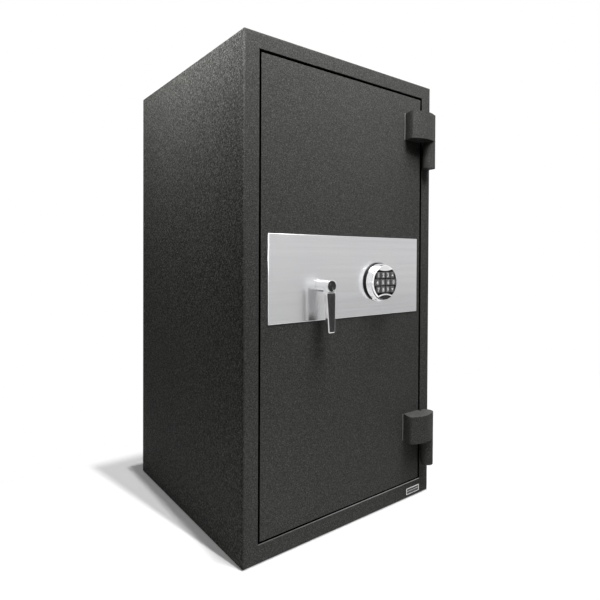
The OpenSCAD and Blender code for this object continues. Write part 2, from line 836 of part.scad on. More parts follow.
// A round barrel with a flat blade that hangs from it and leans outwards towards its tip
module handle_lever() {
    tip_cut = 3;
    top = barrel_r * 0.6;
    color("silver") difference() {
        union() {
            rod_y(handle_x, handle_z, -barrel_p, -fascia_t - lever_gap, barrel_r);
            intersection() {
                from_front(-barrel_p - lever_lean - 1, -lever_front_p + lever_t + 1)
                    translate([handle_x, handle_z])
                    polygon([[-barrel_r, 0], [-lever_mid_w / 2, -lever_l / 2],
                             [-lever_tip_w / 2, -lever_l + tip_cut],
                             [-lever_tip_w / 2 + tip_cut, -lever_l],
                             [lever_tip_w / 2 - tip_cut, -lever_l],
                             [lever_tip_w / 2, -lever_l + tip_cut],
                             [lever_mid_w / 2, -lever_l / 2], [barrel_r, 0],
                             [top, top], [-top, top]]);
                from_side(handle_x - barrel_r, handle_x + barrel_r)
                    polygon([[-lever_front_p, handle_z + barrel_r],
                             [-lever_front_p, handle_z - barrel_r],
                             [-lever_front_p - lever_lean, handle_z - lever_l + tip_cut],
                             [-lever_front_p - lever_lean + tip_cut, handle_z - lever_l],
                             [-lever_front_p - lever_lean + lever_t, handle_z - lever_l],
                             [-lever_front_p + lever_t, handle_z - barrel_r],
                             [-lever_front_p + lever_t, handle_z + barrel_r]]);
            }
        }
        rod_y(handle_x, handle_z, -spindle_front_p, 0, spindle_r);
        rod_y(handle_x, handle_z, -barrel_p - 1, -barrel_p + cap_recess, cap_r);
    }
}

module handle_cap() {
    color("black")
        rod_y(handle_x, handle_z, -barrel_p + cap_recess - cap_t, -barrel_p + cap_recess, cap_r);
}

module handle_spindle() {
    color("silver") rod_y(handle_x, handle_z, -spindle_front_p, crank_d1, spindle_r);
}

module crank_disc() {
    color("gray") {
        difference() {
            rod_y(handle_x, handle_z, crank_d0, crank_d1, crank_disc_r);
            rod_y(handle_x, handle_z, crank_d0 - 1, crank_d1 + 1, spindle_r);
        }
        rod_y(crank_pin_x, crank_pin_z, crank_d1 - EPS, arm_d0 + arm_t + 2, crank_pin_r);
    }
}

// The carriage: one bar behind all the bolts, and an arm with the crank's slot and the lock's lug
module bolt_bar() {
    slot_z0 = handle_z - crank_r - crank_pin_r - slot_end;
    slot_z1 = crank_pin_z + crank_pin_r + slot_end;
    slot_half = crank_pin_r + slot_side;
    color("lightsteelblue") difference() {
        union() {
            slab(bar_x0, bar_x1, pan_d1 + 6, works_d1 - 6, bar_z0, bar_z1);
            from_front(arm_d0, arm_d0 + arm_t)
                polygon([[bar_x1 - EPS, arm_z0], [arm_web_x1, arm_z0], [arm_web_x1, arm_rail_z0],
                         [arm_x1, arm_rail_z0], [arm_x1, arm_z1], [bar_x1 - EPS, arm_z1]]);
            slab(lug_x0, lug_x1, lock_bolt_d0 + 1, lock_bolt_d0 + lock_bolt_t - 1,
                 lock_z1 + lug_above, arm_rail_z0 + EPS);
        }
        slab(crank_pin_x - slot_half, crank_pin_x + slot_half, arm_d0 - 1, arm_d0 + arm_t + 1,
             slot_z0, slot_z1);
        at_bolts() translate([bar_x0 - 1, 0, 0]) rotate([0, 90, 0]) {
            cylinder(h = bar_t + 2, r = bolt_screw_r);
            translate([0, 0, bar_t + 1]) cylinder(h = bolt_head_t + bolt_head_room, r = bolt_head_r + bolt_head_room);
        }
    }
}

module locking_bolts() {
    length = bar_x0 - plug_x0;
    color("silver") at_bolts() translate([plug_x0, 0, 0]) rotate([0, 90, 0]) difference() {
        union() {
            cylinder(h = bolt_nose, r1 = bolt_r - bolt_nose, r2 = bolt_r);
            translate([0, 0, bolt_nose]) cylinder(h = length - bolt_nose, r = bolt_r);
        }
        translate([0, 0, length - bolt_screw_l]) cylinder(h = bolt_screw_l + 1, r = bolt_screw_r);
    }
}

module bolt_screws() {
    color("silver") at_bolts() {
        translate([bar_x0 - bolt_screw_l, 0, 0]) rotate([0, 90, 0])
            cylinder(h = bolt_screw_l + bar_t + EPS, r = bolt_screw_r);
        translate([bar_x1, 0, 0]) rotate([0, 90, 0]) cylinder(h = bolt_head_t, r = bolt_head_r, $fn = 6);
    }
}

// Runs its children at the keypad: x to the right, y up and z out of the door
module at_keypad() {
    translate([keypad_x, front_y, keypad_z]) rotate([90, 0, 0]) children();
}

// The front view of the battery drawer: all that lies below a shallow arch
module drawer_outline(grow) {
    translate([0, seat_z]) circle(seat_r + grow, $fn = 128);
}

module keypad_base() {
    p0 = base_p0 + base_floor;
    window = drawer_side + drawer_slide;
    color("black") at_keypad() difference() {
        union() {
            translate([0, 0, base_p0]) difference() {
                cylinder(h = base_p1 - base_p0, r = base_r);
                translate([0, 0, base_floor]) cylinder(h = base_p1, r = base_r - base_wall);
            }
            for (p = posts) translate([p[0], p[1], base_p0]) cylinder(h = board_p0 - base_p0, r = post_r);
        }
        translate([-window, -2 * base_r, p0]) cube([2 * window, 1.5 * base_r, base_p1]);
        cylinder(h = BIG, r = cable_hole_r);
        for (side = [-1, 1]) translate([side * keypad_screw[0], keypad_screw[1], 0])
            cylinder(h = p0 + 1, r = screw_r);
    }
}

// The round housing as a solid, drawn in by a margin
module dome(shrink) {
    shoulder = dome_p - dome_round;
    rotate_extrude() {
        translate([0, dome_foot_p]) square([dome_r - shrink, shoulder - dome_foot_p]);
        translate([0, dome_foot_p]) square([dome_r - dome_round, dome_p - dome_foot_p - shrink]);
        intersection() {
            translate([dome_r - dome_round, shoulder]) circle(dome_round - shrink);
            translate([0, shoulder - EPS]) square([dome_r, dome_p]);
        }
    }
}

// The outline of the black pad: a disc whose top edge dips in the middle, with an arched bottom
module pad_outline(shrink) {
    r = dome_r - dome_round;
    half = sqrt(r * r - pad_top * pad_top);
    dip_r = (half * half + pad_dip * pad_dip) / (2 * pad_dip);
    difference() {
        circle(r - shrink, $fn = 128);
        translate([0, pad_top - pad_dip + dip_r]) circle(dip_r + shrink, $fn = 256);
        drawer_outline(shrink);
    }
}

module keypad_housing() {
    color("silver") at_keypad() difference() {
        dome(0);
        translate([0, 0, -EPS]) dome(dome_t);
        translate([0, 0, dome_foot_p - 1]) linear_extrude(dome_p) drawer_outline(0);
        translate([0, 0, dome_foot_p + 1]) linear_extrude(dome_p) pad_outline(0);
    }
}

// The outline of one key: its place in the grid, trimmed by the pad's edge
module key_outline(row, col, shrink) {
    w = key_row_w[row];
    x = (col - (key_cols - 1) / 2) * w;
    y = ((key_rows - 1) / 2 - row) * key_pitch_z;
    margin = key_gap / 2 + shrink;
    intersection() {
        translate([x - w / 2 + margin, y - key_pitch_z / 2 + margin])
            square([w - 2 * margin, key_pitch_z - 2 * margin]);
        pad_outline(key_gap + shrink);
    }
}

module keypad_pad() {
    color("black") at_keypad() translate([0, 0, dome_p - pad_t]) linear_extrude(pad_t) difference() {
        pad_outline(0);
        for (row = [0 : key_rows - 1], col = [0 : key_cols - 1]) key_outline(row, col, 0);
    }
}

module key(row, col) {
    color("dimgray") at_keypad() translate([0, 0, board_p1 + key_foot])
        linear_extrude(dome_p + key_proud - board_p1 - key_foot) key_outline(row, col, key_side);
}

module keypad_board() {
    color("darkgreen") at_keypad() translate([0, 0, board_p0]) linear_extrude(board_t)
        pad_outline(dome_t + 0.5);
}

module keypad_screws() {
    p = base_p0 + base_floor;
    color("silver") {
        at_keypad_screws(-p, plate_t - 2, screw_r);
        at_keypad_screws(-p - screw_head_t, -p, screw_head_r);
    }
}

module keypad_cable() {
    color("black") rod_y(keypad_x, keypad_z, -board_p0, pan_d1, cable_r);
}

// The drawer closes the bottom of the housing and slides down with the battery on its tray
module battery_drawer() {
    foot_top = battery_z0 - 1;
    tray_top = battery_z0 + battery_h + 1;
    color("silver") at_keypad() {
        difference() {
            intersection() {
                difference() {
                    dome(0);
                    translate([0, 0, -EPS]) dome(dome_t);
                }
                translate([0, 0, dome_foot_p + drawer_rest]) linear_extrude(dome_p) drawer_outline(-seat_gap);
            }
            difference() {
                linear_extrude(dome_p + 1) intersection() {
                    drawer_outline(-lens_edge);
                    circle(lens_r, $fn = 128);
                }
                dome(lens_depth);
                cylinder(h = dome_p - dome_round, r = base_r);
            }
        }
        intersection() {
            translate([0, 0, tray_p0]) cylinder(h = dome_foot_p + drawer_rest + EPS - tray_p0, r = base_r);
            translate([-drawer_side, foot_top - base_r, 0]) cube([2 * drawer_side, base_r, dome_p]);
        }
        translate([-drawer_side + 1, foot_top - EPS, tray_p0])
            cube([2 * drawer_side - 2, tray_top - foot_top, tray_t]);
    }
}

module battery() {
    color("black") at_keypad()
        translate([-battery_w / 2, battery_z0, tray_p0 + tray_t])
            cube([battery_w, battery_h, battery_t]);
}

outer_shell();
back_plate();
front_frame();
bolt_channel();
barrier_fill();
inner_liner();
fire_seal();
anchor_sleeves();
shelf_standards();
shelf_clips();
shelves();
hinge_knuckle_upper();
hinge_knuckle_lower();
hinge_pins();
hinge_washers();
rating_plate();
door_plate();
door_pan();
door_fill();
hard_plate();
fascia_panel();
hinge_block_upper();
hinge_block_lower();
hinge_plates();
bolt_frame();
bolt_guide_rail();
dead_bar();
rear_cover();
cover_screws();
lock_case();
lock_screws();
handle_bush();
keypad_base();
keypad_housing();
keypad_pad();
keypad_board();
keypad_screws();
keypad_cable();
handle_lever();
handle_cap();
handle_spindle();
crank_disc();
bolt_bar();
locking_bolts();
bolt_screws();
lock_bolt();
battery_drawer();
battery();
for (row = [0 : key_rows - 1], col = [0 : key_cols - 1])
    key(row, col);
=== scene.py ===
import json
import math

import bmesh
import bpy
from mathutils import Euler, Matrix, Vector

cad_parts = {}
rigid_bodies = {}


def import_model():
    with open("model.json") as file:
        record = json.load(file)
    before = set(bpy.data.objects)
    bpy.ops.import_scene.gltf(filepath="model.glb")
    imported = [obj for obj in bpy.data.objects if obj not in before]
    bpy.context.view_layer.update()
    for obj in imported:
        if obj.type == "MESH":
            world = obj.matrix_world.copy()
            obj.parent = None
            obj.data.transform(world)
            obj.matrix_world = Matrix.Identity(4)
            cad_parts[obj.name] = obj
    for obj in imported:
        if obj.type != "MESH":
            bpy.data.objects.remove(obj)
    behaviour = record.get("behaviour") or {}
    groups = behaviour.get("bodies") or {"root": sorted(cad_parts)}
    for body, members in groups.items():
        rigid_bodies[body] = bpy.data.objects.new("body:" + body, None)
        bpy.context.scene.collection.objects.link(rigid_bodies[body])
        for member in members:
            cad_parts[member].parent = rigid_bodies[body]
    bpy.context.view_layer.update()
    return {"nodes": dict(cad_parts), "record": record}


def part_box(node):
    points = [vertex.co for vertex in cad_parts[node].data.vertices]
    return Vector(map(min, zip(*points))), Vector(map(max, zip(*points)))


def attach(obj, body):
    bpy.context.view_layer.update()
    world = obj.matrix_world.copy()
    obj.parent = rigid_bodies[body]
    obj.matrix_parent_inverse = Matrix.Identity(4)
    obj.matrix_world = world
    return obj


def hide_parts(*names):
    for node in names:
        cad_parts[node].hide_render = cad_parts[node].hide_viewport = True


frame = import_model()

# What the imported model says
RECORD = frame["record"]
CAD_NODES = frame["nodes"]
BODY_OF = {node: body for body, nodes in RECORD["behaviour"]["bodies"].items() for node in nodes}
SLOT_OF = {part["node"]: part["material_slot"] for part in RECORD["subparts"]}
DOOR_LOW, DOOR_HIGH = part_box("door_plate")
DOOR_FACE = DOOR_LOW[1]
MM = 0.001
# A square's corners, in order round it
SQUARE = ((-1, -1), (1, -1), (1, 1), (-1, 1))


def middle_of(node):
    """The middle of a node's box in the door's plane: its place across and its height"""
    low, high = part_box(node)
    return ((low[0] + high[0]) / 2, (low[2] + high[2]) / 2)


# Node trees written as expressions
class Wire:
    """An output socket: arithmetic on it adds Math nodes to its tree"""

    def __init__(self, bench, socket):
        self.bench = bench
        self.socket = socket

    def math(self, operation, first, second):
        return self.bench.node("ShaderNodeMath", {"operation": operation}, {0: first, 1: second})

    def __add__(self, other):
        return self.math("ADD", self, other)

    def __radd__(self, other):
        return self.math("ADD", other, self)

    def __sub__(self, other):
        return self.math("SUBTRACT", self, other)

    def __rsub__(self, other):
        return self.math("SUBTRACT", other, self)

    def __mul__(self, other):
        return self.math("MULTIPLY", self, other)

    def __rmul__(self, other):
        return self.math("MULTIPLY", other, self)

    def __neg__(self):
        return self.math("MULTIPLY", self, -1.0)


class Bench:
    """A node tree being built, with one method that adds any node to it"""

    def __init__(self, tree):
        self.tree = tree
        tree.nodes.clear()

    def node(self, kind, settings=None, inputs=None, out=0):
        """Adds a node and gives one output's wire; a list of wires goes to an input that takes several"""
        made = self.tree.nodes.new(kind)
        for key, value in (settings or {}).items():
            setattr(made, key, value)
        for key, value in (inputs or {}).items():
            for each in value if isinstance(value, list) else [value]:
                if isinstance(each, Wire):
                    self.tree.links.new(each.socket, made.inputs[key])
                else:
                    made.inputs[key].default_value = each
        return Wire(self, made.outputs[out]) if made.outputs else made

    def smooth(self, value, low, high):
        """0 below low and 1 above high, with a soft change between them"""
        return self.node("ShaderNodeMapRange", {"interpolation_type": "SMOOTHSTEP"},
                         {"Value": value, "From Min": low, "From Max": high})

    def colours(self, share, first, second):
        """The first colour at a share of 0 and the second at 1"""
        return self.node("ShaderNodeMix", {"data_type": "RGBA"},
                         {0: share, 6: first, 7: second}, out=2)

    def stretched(self, place, x, y, z):
        """The place scaled on each axis, for a grain that runs along one of them"""
        return self.node("ShaderNodeVectorMath", {"operation": "MULTIPLY"},
                         {0: place, 1: (x, y, z)})

    def grain(self, place, size, detail=2.0, rough=0.5):
        """Noise from 0 to 1 with grains of about this size in metres"""
        return self.node("ShaderNodeTexNoise", None,
                         {"Vector": place, "Scale": 1.0 / size, "Detail": detail, "Roughness": rough})

    def relief(self, height, depth, strength):
        """A normal bent by a height that stands for this many metres"""
        return self.node("ShaderNodeBump", None,
                         {"Height": height, "Distance": depth, "Strength": strength})


def grey(level, warmth=0.0):
    """A linear grey, a little warmer or cooler"""
    return (level * (1 + warmth), level, level * (1 - warmth), 1.0)


def olive(level):
    """The paint's grey, which is a little short of blue"""
    return (level, level * 1.006, level * 0.95, 1.0)


class Finish(Bench):
    """A surface finish: a material whose tree ends in one principled shader"""

    def __init__(self, name):
        self.material = bpy.data.materials.new(name)
        self.material.use_nodes = True
        super().__init__(self.material.node_tree)
        self.place = self.node("ShaderNodeTexCoord", out="Object")

    def axis(self, name):
        """One coordinate of the place, in metres"""
        return self.node("ShaderNodeSeparateXYZ", None, {0: self.place}, out=name)

    def done(self, **sockets):
        """Ends the tree in a principled shader; a socket's name has _ where Blender's has a space"""
        named = {key.replace("_", " "): value for key, value in sockets.items()}
        shader = self.node("ShaderNodeBsdfPrincipled", None, named)
        self.node("ShaderNodeOutputMaterial", None, {"Surface": shader})
        return self.material


# Paints
def powder_coat(name, level, lump, low, high, fleck, grit, gloss):
    """Dark textured powder coat: lumps of this size in metres, between a low and a high share of the
    level, with small light flecks and dark pits between them, over grit of this depth"""
    f = Finish(name)
    lumps = f.grain(f.place, lump, 1.0, 0.5)
    sand = f.grain(f.place, lump * 0.45, 1.0, 0.5)
    clouds = f.grain(f.place, 0.30, 1.0, 0.5)
    specks = f.grain(f.place, lump * 0.9, 1.0, 0.6)
    flecks = f.smooth(specks, 0.54, 0.74)
    pits = 1.0 - f.smooth(specks, 0.28, 0.46)
    tone = f.smooth(lumps * 0.6 + sand * 0.4, 0.36, 0.64)
    base = f.colours(tone, olive(level * low), olive(level * high))
    cloudy = f.colours(f.smooth(clouds, 0.35, 0.68) * 0.12, base, olive(level * 1.2))
    pitted = f.colours(pits * fleck, cloudy, olive(level * 0.35))
    colour = f.colours(flecks * fleck, pitted, olive(level * 2.6))
    rough = 0.50 + lumps * 0.14 - flecks * 0.10
    bump = f.relief(lumps * 0.7 + sand * 0.3, grit, 0.9)
    return f.done(Base_Color=colour, Roughness=rough, Specular_IOR_Level=gloss, Normal=bump)


def satin_paint(name, colour, rough=0.42, peel=0.00012):
    """Smooth sprayed paint with orange peel"""
    f = Finish(name)
    waves = f.grain(f.place, 0.0045, 1.0, 0.4)
    dust = f.grain(f.place, 0.09, 3.0, 0.55)
    darker = tuple(c * 0.86 for c in colour[:3]) + (1.0,)
    tint = f.colours(f.smooth(dust, 0.38, 0.66), darker, colour)
    return f.done(Base_Color=tint, Roughness=rough + dust * 0.10, Normal=f.relief(waves, peel, 0.8))


# Metals
def brushed_sheet(name):
    """Stainless band, brushed from left to right"""
    f = Finish(name)
    hairs = f.grain(f.stretched(f.place, 5.0, 60.0, 1300.0), 1.0, 3.0, 0.65)
    bands = f.grain(f.stretched(f.place, 1.6, 10.0, 75.0), 1.0, 2.0, 0.5)
    patches = f.grain(f.place, 0.16, 2.0, 0.5)
    tone = f.smooth(hairs * 0.62 + bands * 0.38, 0.30, 0.70)
    base = f.colours(tone, (0.735, 0.735, 0.75, 1.0), (0.81, 0.81, 0.825, 1.0))
    colour = f.colours(f.smooth(patches, 0.35, 0.65) * 0.35, base, (0.83, 0.83, 0.835, 1.0))
    rough = 0.15 + hairs * 0.08 + patches * 0.05
    return f.done(Base_Color=colour, Metallic=1.0, Roughness=rough, Anisotropic=0.45,
                  Anisotropic_Rotation=0.25, Normal=f.relief(hairs, 0.00004, 0.5))


def chrome(name, tint=0.86, rough=0.05, axis=None, crown=0.0):
    """Bright plating over a cast part, with a slight waviness and wiping marks. Where an axis through
    the door is named, its flats are crowned round it"""
    f = Finish(name)
    waves = f.grain(f.place, 0.016, 1.0, 0.4)
    wipes = f.grain(f.place, 0.007, 3.0, 0.6)
    marks = f.smooth(wipes, 0.52, 0.72)
    colour = f.colours(marks * 0.5, grey(tint, -0.004), grey(tint * 0.92, -0.004))
    height = waves * 0.00003
    if axis:
        beside = f.axis("X") - axis[0]
        above = f.axis("Z") - axis[1]
        height = height - (beside * beside + above * above) * (crown / 0.09)
    return f.done(Base_Color=colour, Metallic=1.0, Roughness=rough + marks * 0.05,
                  Normal=f.relief(height, 1.0, 1.0))


def lever_plating(name, blade_top):
    """Chrome on the barrel, and satin chrome with fine upright grinding marks on the blade"""
    f = Finish(name)
    blade = 1.0 - f.smooth(f.axis("Z"), blade_top - 0.012, blade_top - 0.004)
    hairs = f.grain(f.stretched(f.place, 1500.0, 300.0, 9.0), 1.0, 3.0, 0.6)
    waves = f.grain(f.place, 0.014, 1.0, 0.4)
    ground = f.colours(f.smooth(hairs, 0.32, 0.68), grey(0.62), grey(0.80))
    colour = f.colours(blade, grey(0.86, -0.004), ground)
    rough = 0.05 + blade * (0.07 + hairs * 0.10)
    return f.done(Base_Color=colour, Metallic=1.0, Roughness=rough,
                  Normal=f.relief(waves + blade * hairs * 0.25, 0.00005, 0.6))


def turned_steel(name, level, rough=0.22):
    """Bare machined steel with turning marks round it"""
    f = Finish(name)
    rings = f.grain(f.stretched(f.place, 900.0, 900.0, 900.0), 1.0, 2.0, 0.5)
    stains = f.grain(f.place, 0.03, 3.0, 0.6)
    colour = f.colours(f.smooth(stains, 0.40, 0.70), grey(level), grey(level * 0.82, 0.02))
    return f.done(Base_Color=colour, Metallic=1.0, Roughness=rough + rings * 0.08 + stains * 0.06,
                  Normal=f.relief(rings, 0.00003, 0.5))


def zinc_plate(name, level=0.62):
    """Zinc plate: cool grey with a faint crystalline mottle"""
    f = Finish(name)
    spangle = f.node("ShaderNodeTexVoronoi", {"feature": "F1"}, {"Vector": f.place, "Scale": 170.0},
                     out="Color")
    mottle = f.node("ShaderNodeSeparateColor", None, {0: spangle})
    dull = f.grain(f.place, 0.02, 3.0, 0.6)
    colour = f.colours(mottle, grey(level * 0.90, -0.02), grey(level * 1.05, -0.01))
    return f.done(Base_Color=colour, Metallic=1.0, Roughness=0.28 + dull * 0.16 + mottle * 0.05,
                  Normal=f.relief(dull, 0.00008, 0.5))


def yellow_metal(name, colour, rough=0.25):
    """Brass or bronze with a little tarnish"""
    f = Finish(name)
    tarnish = f.smooth(f.grain(f.place, 0.012, 3.0, 0.6), 0.42, 0.72)
    dull = tuple(c * 0.62 for c in colour[:3]) + (1.0,)
    return f.done(Base_Color=f.colours(tarnish, colour, dull), Metallic=1.0,
                  Roughness=rough + tarnish * 0.18, Normal=f.relief(tarnish, 0.00003, 0.4))


def foil_plate(name):
    """Thin brushed aluminium plate"""
    f = Finish(name)
    hairs = f.grain(f.stretched(f.place, 12.0, 60.0, 2200.0), 1.0, 2.0, 0.6)
    colour = f.colours(f.smooth(hairs, 0.35, 0.65), grey(0.66), grey(0.84))
    return f.done(Base_Color=colour, Metallic=1.0, Roughness=0.26 + hairs * 0.12,
                  Normal=f.relief(hairs, 0.00002, 0.4))


# Plastics, rubber and mineral fill
def rubber(name, level, speck=0.25, rough=0.62, gloss=0.4):
    """Matt rubber with a fine tooth and a little dust"""
    f = Finish(name)
    fine = f.grain(f.place, 0.0007, 2.0, 0.5)
    dust = f.grain(f.place, 0.010, 3.0, 0.6)
    colour = f.colours(f.smooth(dust, 0.40, 0.72) * speck, grey(level), grey(level * 1.8 + 0.004))
    return f.done(Base_Color=colour, Roughness=rough + fine * 0.12, Specular_IOR_Level=gloss,
                  Normal=f.relief(fine, 0.00004, 0.6))


def moulded_plastic(name, colour, rough, gloss=0.5):
    """Injection moulding: a fine spark texture over faint flow marks"""
    f = Finish(name)
    texture = f.grain(f.place, 0.0009, 2.0, 0.5)
    flow = f.grain(f.place, 0.03, 2.0, 0.5)
    lighter = tuple(c * 1.35 for c in colour[:3]) + (1.0,)
    return f.done(Base_Color=f.colours(flow * 0.5, colour, lighter), Roughness=rough + texture * 0.12,
                  Specular_IOR_Level=gloss, Normal=f.relief(texture, 0.00004, 0.5))


def poured_fill(name):
    """Light concrete with pores and small stones"""
    f = Finish(name)
    stones = f.node("ShaderNodeTexVoronoi", {"feature": "F1"}, {"Vector": f.place, "Scale": 95.0},
                    out="Distance")
    pores = f.smooth(f.grain(f.place, 0.006, 3.0, 0.6), 0.62, 0.70)
    clouds = f.grain(f.place, 0.07, 3.0, 0.6)
    base = f.colours(clouds, (0.50, 0.48, 0.44, 1.0), (0.68, 0.66, 0.61, 1.0))
    chips = f.colours(f.smooth(stones, 0.30, 0.16) * 0.4, base, (0.40, 0.39, 0.37, 1.0))
    # The pores are also coloured dark: painted shade inside them
    return f.done(Base_Color=f.colours(pores, chips, grey(0.20, 0.05)), Roughness=0.86 + clouds * 0.08,
                  Normal=f.relief(clouds - pores, 0.0008, 0.7))


def circuit_board(name):
    """Green board with faint lighter tracks"""
    f = Finish(name)
    across = f.node("ShaderNodeTexWave", {"bands_direction": "X"},
                    {"Vector": f.place, "Scale": 120.0, "Distortion": 6.0, "Detail": 1.0}, out="Fac")
    tracks = f.smooth(across, 0.72, 0.82)
    colour = f.colours(tracks * 0.7, (0.010, 0.085, 0.035, 1.0), (0.030, 0.190, 0.080, 1.0))
    return f.done(Base_Color=colour, Roughness=0.32 + tracks * 0.1, Normal=f.relief(tracks, 0.00003, 0.5))


def print_ink(name, level):
    """Screen print, a little worn"""
    f = Finish(name)
    wear = f.grain(f.place, 0.0012, 2.0, 0.6)
    return f.done(Base_Color=f.colours(f.smooth(wear, 0.35, 0.75), grey(level), grey(level * 0.8)),
                  Roughness=0.50 + wear * 0.1)


BLADE_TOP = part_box("handle_cap")[0][2]
KEYPAD = middle_of("keypad_base")
# The record's finishes: each one's rule, and the rule's values after the name
FINISH_RULES = {
    "body_paint": (powder_coat, 0.042, 0.0046, 0.40, 1.52, 1.0, 0.0008, 0.03),
    "frame_paint": (powder_coat, 0.046, 0.0024, 0.80, 1.16, 0.45, 0.0003, 0.06),
    "liner_paint": (satin_paint, (0.42, 0.43, 0.44, 1.0)),
    "barrier": (poured_fill,),
    "seal_rubber": (rubber, 0.018),
    "zinc_steel": (zinc_plate,),
    "hinge_steel": (turned_steel, 0.50),
    "bronze": (yellow_metal, (0.58, 0.40, 0.20, 1.0)),
    "rating_foil": (foil_plate,),
    "works_paint": (satin_paint, (0.26, 0.27, 0.29, 1.0)),
    "cover_paint": (satin_paint, (0.10, 0.10, 0.105, 1.0), 0.46, 0.00018),
    "hard_steel": (turned_steel, 0.30, 0.34),
    "fascia_steel": (brushed_sheet,),
    "bolt_steel": (chrome, 0.80, 0.10),
    "lock_zinc": (zinc_plate, 0.48),
    "lock_brass": (yellow_metal, (0.72, 0.53, 0.25, 1.0), 0.20),
    "base_plastic": (moulded_plastic, grey(0.006), 0.44, 0.12),
    "dome_chrome": (chrome, 0.97, 0.05, KEYPAD, 0.30),
    "pad_rubber": (rubber, 0.005, 0.2, 0.70, 0.10),
    "key_rubber": (rubber, 0.12, 0.3, 0.55, 0.25),
    "board_green": (circuit_board,),
    "battery_case": (moulded_plastic, (0.030, 0.031, 0.036, 1.0), 0.26),
    "cable_jacket": (moulded_plastic, grey(0.014), 0.42),
    "lever_chrome": (lever_plating, BLADE_TOP),
    "cap_black": (moulded_plastic, (0.009, 0.009, 0.010, 1.0), 0.20),
}
FINISHES = {name: rule(name, *values) for name, (rule, *values) in FINISH_RULES.items()}
# Finishes of single faces and small pieces
# The body's powder coat, lighter and finer for the front faces, the door and the hinges: the extra
# lightness is painted light, for the front being lit more than the sides
FRONT_PAINT_PAINTED_LIGHT = powder_coat("front_paint", 0.056, 0.0032, 0.76, 1.18, 0.60, 0.0005, 0.05)
KEY_INK = print_ink("key_ink", 0.92)
# Bright bare steel: a painted highlight on the sill's rounded edge, and on the hinge plates' left edges
# both wear and a painted highlight
WORN_EDGE_AND_HIGHLIGHT = turned_steel("worn_edge", 0.29, 0.34)
# A lighter metal than the brushed band, on the band's rounded edges: a painted highlight along them
BAND_EDGE_SHEEN = chrome("band_edge", 0.92, 0.34)
# Black that paints the shade inside the gap round the door, on the body's side and on the door's edges
GAP_SHADE_BLACK = rubber("joint_black", 0.004, 0.1, 0.85, 0.0)
# Dark steel for the hinge pins, whose lower ends show under the knuckles: dark as if painted over, and
# painted shade there in place of their bright ends
PIN_PAINTED_OVER_AND_SHADE = turned_steel("pin_black", 0.07, 0.45)
ETCHED = moulded_plastic("etched_panel", (0.035, 0.035, 0.036, 1.0), 0.30)
SMOKED_LENS = moulded_plastic("smoked_lens", (0.012, 0.012, 0.013, 1.0), 0.08)


# Pieces and what they stand for
def shown(name, data):
    """A new piece at the origin, from a mesh or a curve"""
    piece = bpy.data.objects.new(name, data)
    bpy.context.scene.collection.objects.link(piece)
    return piece


def boxed(points):
    """The lowest and highest corner of a box round the points"""
    rows = list(zip(*points))
    return Vector(map(min, rows)), Vector(map(max, rows))


def plain(piece, name):
    """The piece with its modifiers applied, as a new plain mesh object at the origin"""
    view = bpy.context.evaluated_depsgraph_get()
    view.update()
    mesh = bpy.data.meshes.new_from_object(piece.evaluated_get(view), preserve_all_data_layers=True,
                                           depsgraph=view)
    made = shown(name, mesh)
    bpy.data.objects.remove(piece)
    return made


ROUND_OPENINGS = ("front_frame", "door_pan", "shelves", "keypad_pad", "bolt_channel")
SAME_POINT = 0.000002
SAME_PLANE = math.radians(0.5)


def joined_solid(node):
    """The node's own mesh with its loose triangles merged and its flat faces made whole. Those that go
    round an opening are split where they turn inward, or rounding their edges would close the opening"""
    body = bmesh.new()
    body.from_mesh(CAD_NODES[node].data)
    bmesh.ops.remove_doubles(body, verts=body.verts, dist=SAME_POINT)
    bmesh.ops.dissolve_limit(body, angle_limit=SAME_PLANE, verts=body.verts, edges=body.edges)
    if node in ROUND_OPENINGS:
        bmesh.ops.connect_verts_concave(body, faces=body.faces)
    return body


def mesh_from(body, name):
    """The built mesh as data with this name; frees what it was built in"""
    mesh = bpy.data.meshes.new(name)
    body.to_mesh(mesh)
    body.free()
    return mesh


def solid_copy(node, name):
    """A new piece with the node's own shape"""
    return shown(name, mesh_from(joined_solid(node), name))


def weigh_edges(mesh, chosen, angle):
    """Gives each sharp edge the share of the radius that the test names for its two ends"""
    body = bmesh.new()
    body.from_mesh(mesh)
    share = body.edges.layers.float.new("bevel_weight_edge")
    for edge in body.edges:
        if len(edge.link_faces) == 2 and edge.calc_face_angle(0.0) > math.radians(angle):
            edge[share] = chosen(edge.verts[0].co, edge.verts[1].co)
    body.to_mesh(mesh)
    body.free()


def soften(piece, radius, segments=2, angle=30.0, chosen=None, clamp=True):
    """Rounds the piece's sharp edges to a radius in millimetres, or those that are chosen, and keeps its
    flats flat. A radius of 0 only marks them as sharp"""
    for face in piece.data.polygons:
        face.use_smooth = True
    if radius:
        bevel = piece.modifiers.new("edges", "BEVEL")
        bevel.width = radius * MM
        bevel.segments = segments
        bevel.limit_method = "WEIGHT" if chosen else "ANGLE"
        bevel.angle_limit = math.radians(angle)
        bevel.miter_outer = "MITER_ARC"
        bevel.use_clamp_overlap = clamp
        if chosen:
            weigh_edges(piece.data, chosen, angle)
        # A corner's normal follows its large flat faces and not its roundings
        flats = piece.modifiers.new("flats", "WEIGHTED_NORMAL")
        flats.keep_sharp = True
        flats.weight = 80
    else:
        piece.data.set_sharp_from_angle(angle=math.radians(angle))
    return piece


def rounded(node, radius, segments, chosen=None, clamp=True):
    """The node's shape with its edges rounded, as a plain mesh whose faces can be told apart"""
    raw = solid_copy(node, node + "_copy")
    return plain(soften(raw, radius, segments, chosen=chosen, clamp=clamp), node + "_finished")


def settle(piece, node, finish=None):
    """The piece stands for a node and moves with its body"""
    if not piece.data.materials:
        piece.data.materials.append(finish or FINISHES[SLOT_OF[node]])
    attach(piece, BODY_OF[node])
    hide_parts(node)


